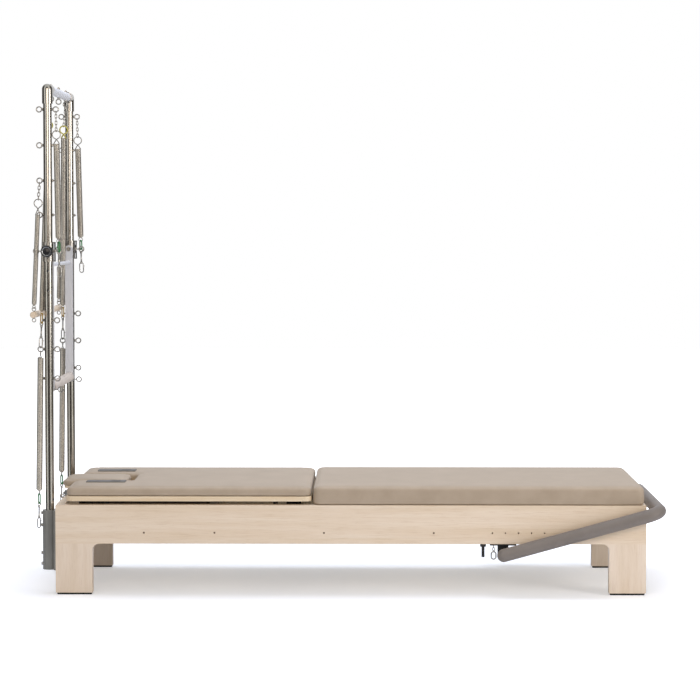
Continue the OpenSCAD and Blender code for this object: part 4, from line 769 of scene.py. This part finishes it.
def studioFloor():
    # white floor that fades into a white background, keeping the object's shadow; sizes in metres
    settings = {"size": 30.0, "near": 0.33, "far": 0.95, "fadeFrom": 0.8, "fadeTo": 2.2, "lengthwise": 0.55}
    mesh = bpy.data.meshes.new("floor")
    half = settings["size"] / 2
    corners = [(-half, -half, 0), (half, -half, 0), (half, half, 0), (-half, half, 0)]
    mesh.from_pydata(corners, [], [(0, 1, 2, 3)])
    floor = bpy.data.objects.new("floor", mesh)
    scene.collection.objects.link(floor)
    material, tree, shader = newMaterial("pale studio floor", Roughness=0.9)
    cloud = add(tree, "TexNoise", {"Vector": plan(tree), "Scale": 1 / (500 * mm)})
    tint = add(tree, "ValToRGB", {0: cloud}, stops=[(0.2, "#eef0f4"), (0.8, "#f2f4f8")])
    tree.links.new(tint, shader.inputs["Base Color"])
    # distance from the middle, the bed's length counted for about half
    squeezed = plan(tree, (settings["lengthwise"], 1, 1))
    distance = add(tree, "VectorMath", {0: squeezed}, "Value", operation="LENGTH")
    away = add(tree, "MapRange", {"Value": distance, "From Min": settings["fadeFrom"],
                                  "From Max": settings["fadeTo"]})
    raised = add(tree, "MapRange", {"Value": away, "To Min": settings["near"], "To Max": settings["far"]})
    glow = add(tree, "Emission", {"Color": (1, 1, 1, 1), "Strength": raised})
    lit = add(tree, "AddShader", {0: shader.outputs[0], 1: glow})
    isCamera = add(tree, "LightPath", out="Is Camera Ray")
    isGlossy = add(tree, "LightPath", out="Is Glossy Ray")
    seen = add(tree, "MixShader", {0: isCamera, 1: shader.outputs[0], 2: lit})
    # far from the object, mirrors see the room instead of the floor
    through = add(tree, "Math", {0: isGlossy, 1: away}, operation="MULTIPLY")
    last = add(tree, "MixShader", {0: through, 1: seen, 2: add(tree, "BsdfTransparent")})
    tree.links.new(last, tree.nodes["Material Output"].inputs["Surface"])
    mesh.materials.append(material)


def studioRoom():
    # soft even light for surfaces, a dark room with tall soft boxes for mirrors, plain white for the camera
    settings = {"mirrored": 1.15, "soft": 0.5, "softTint": (0.95, 0.96, 1.0, 1)}
    world = bpy.data.worlds.new("studio")
    scene.world = world
    world.use_nodes = True
    tree = world.node_tree
    way = add(tree, "TexCoord", out="Generated")
    x = add(tree, "SeparateXYZ", {"Vector": way}, "X")
    y = add(tree, "SeparateXYZ", {"Vector": way}, "Y")
    height = add(tree, "SeparateXYZ", {"Vector": way}, "Z")
    back = add(tree, "Math", {0: y, 1: -1.0}, operation="MULTIPLY")
    bearing = add(tree, "Math", {0: x, 1: back}, operation="ARCTAN2")
    part = add(tree, "MapRange", {"Value": bearing, "From Min": -math.pi, "From Max": math.pi})
    # round the room, 0.5 being behind the camera: dark there, a tall soft box on each side, grey beyond
    room = add(tree, "ValToRGB", {0: part}, stops=[
        (0.0, "#dcdcde"), (1.0, "#dcdcde"), (0.07, "#cfcfd1"), (0.13, "#6d6b68"), (0.24, "#4c4a48"),
        (0.31, "#35343a"), (0.335, "#f4f3ef"), (0.395, "#fbfaf6"), (0.42, "#504d4a"), (0.5, "#3a3836"),
        (0.58, "#504d4a"), (0.605, "#fbf8f2"), (0.665, "#f6f1e8"), (0.69, "#45413e"), (0.78, "#54514d"),
        (0.87, "#706d69"), (0.93, "#cfcfd1")])
    ceiling = add(tree, "ValToRGB", {0: height}, stops=[(0.55, "#000000"), (0.85, "#c8cac9")])
    both = add(tree, "Mix", {0: 1.0, 6: room, 7: ceiling}, 2, data_type="RGBA", blend_type="LIGHTEN")
    mirrored = add(tree, "Background", {"Color": both, "Strength": settings["mirrored"]})
    plain = add(tree, "Background", {"Color": (1, 1, 1, 1), "Strength": 1.0})
    soft = tree.nodes["Background"]
    soft.inputs["Color"].default_value = settings["softTint"]
    soft.inputs["Strength"].default_value = settings["soft"]
    isGlossy = add(tree, "LightPath", out="Is Glossy Ray")
    isCamera = add(tree, "LightPath", out="Is Camera Ray")
    glossy = add(tree, "MixShader", {0: isGlossy, 1: soft.outputs[0], 2: mirrored})
    last = add(tree, "MixShader", {0: isCamera, 1: glossy, 2: plain})
    tree.links.new(last, tree.nodes["World Output"].inputs["Surface"])


def softBox(name, place, target, size, power, tint, mirrored=True):
    # an area lamp at place, turned to target; mirrored says whether shiny surfaces show it
    lamp = bpy.data.lights.new(name, "AREA")
    lamp.shape = "RECTANGLE"
    lamp.size, lamp.size_y = size
    lamp.energy = power
    lamp.color = linear(tint)[:3]
    made = bpy.data.objects.new(name, lamp)
    made.location = place
    made.rotation_euler = (Vector(target) - Vector(place)).to_track_quat("-Z", "Y").to_euler()
    made.visible_glossy = mirrored
    scene.collection.objects.link(made)


studioFloor()
studioRoom()
softBox("topBox", (0.1, 0.6, 4.2), (0, 0, 0.3), (4.5, 2.2), 125, "#e4ecff", False)
softBox("frontBox", (-0.7, -4.6, 2.4), (0.3, 0, 0.4), (2.4, 1.8), 46, "#fff0e0")
softBox("rightBox", (4.2, -2.6, 1.8), (0.9, 0, 0.4), (1.6, 2.0), 62, "#fff9f4")


def camera():
    # the photograph's viewing point, worked out from the rails' and posts' sizes in it
    view = {"x": 1272.8, "y": -8458, "z": 1527, "yaw": 0.528, "pitch": 2.535, "focal": 2011.3 / 700 * 36,
            "rise": 41.8 / 700}
    made = bpy.data.objects.new("camera", bpy.data.cameras.new("camera"))
    made.data.sensor_width = 36
    made.data.lens = view["focal"]
    made.data.shift_y = -view["rise"]
    made.location = at(view["x"], view["y"], view["z"])
    made.rotation_euler = (math.radians(90 - view["pitch"]), 0, math.radians(view["yaw"]))
    scene.collection.objects.link(made)
    scene.camera = made


camera()
scene.view_settings.view_transform = "Standard"
print("studio lit")
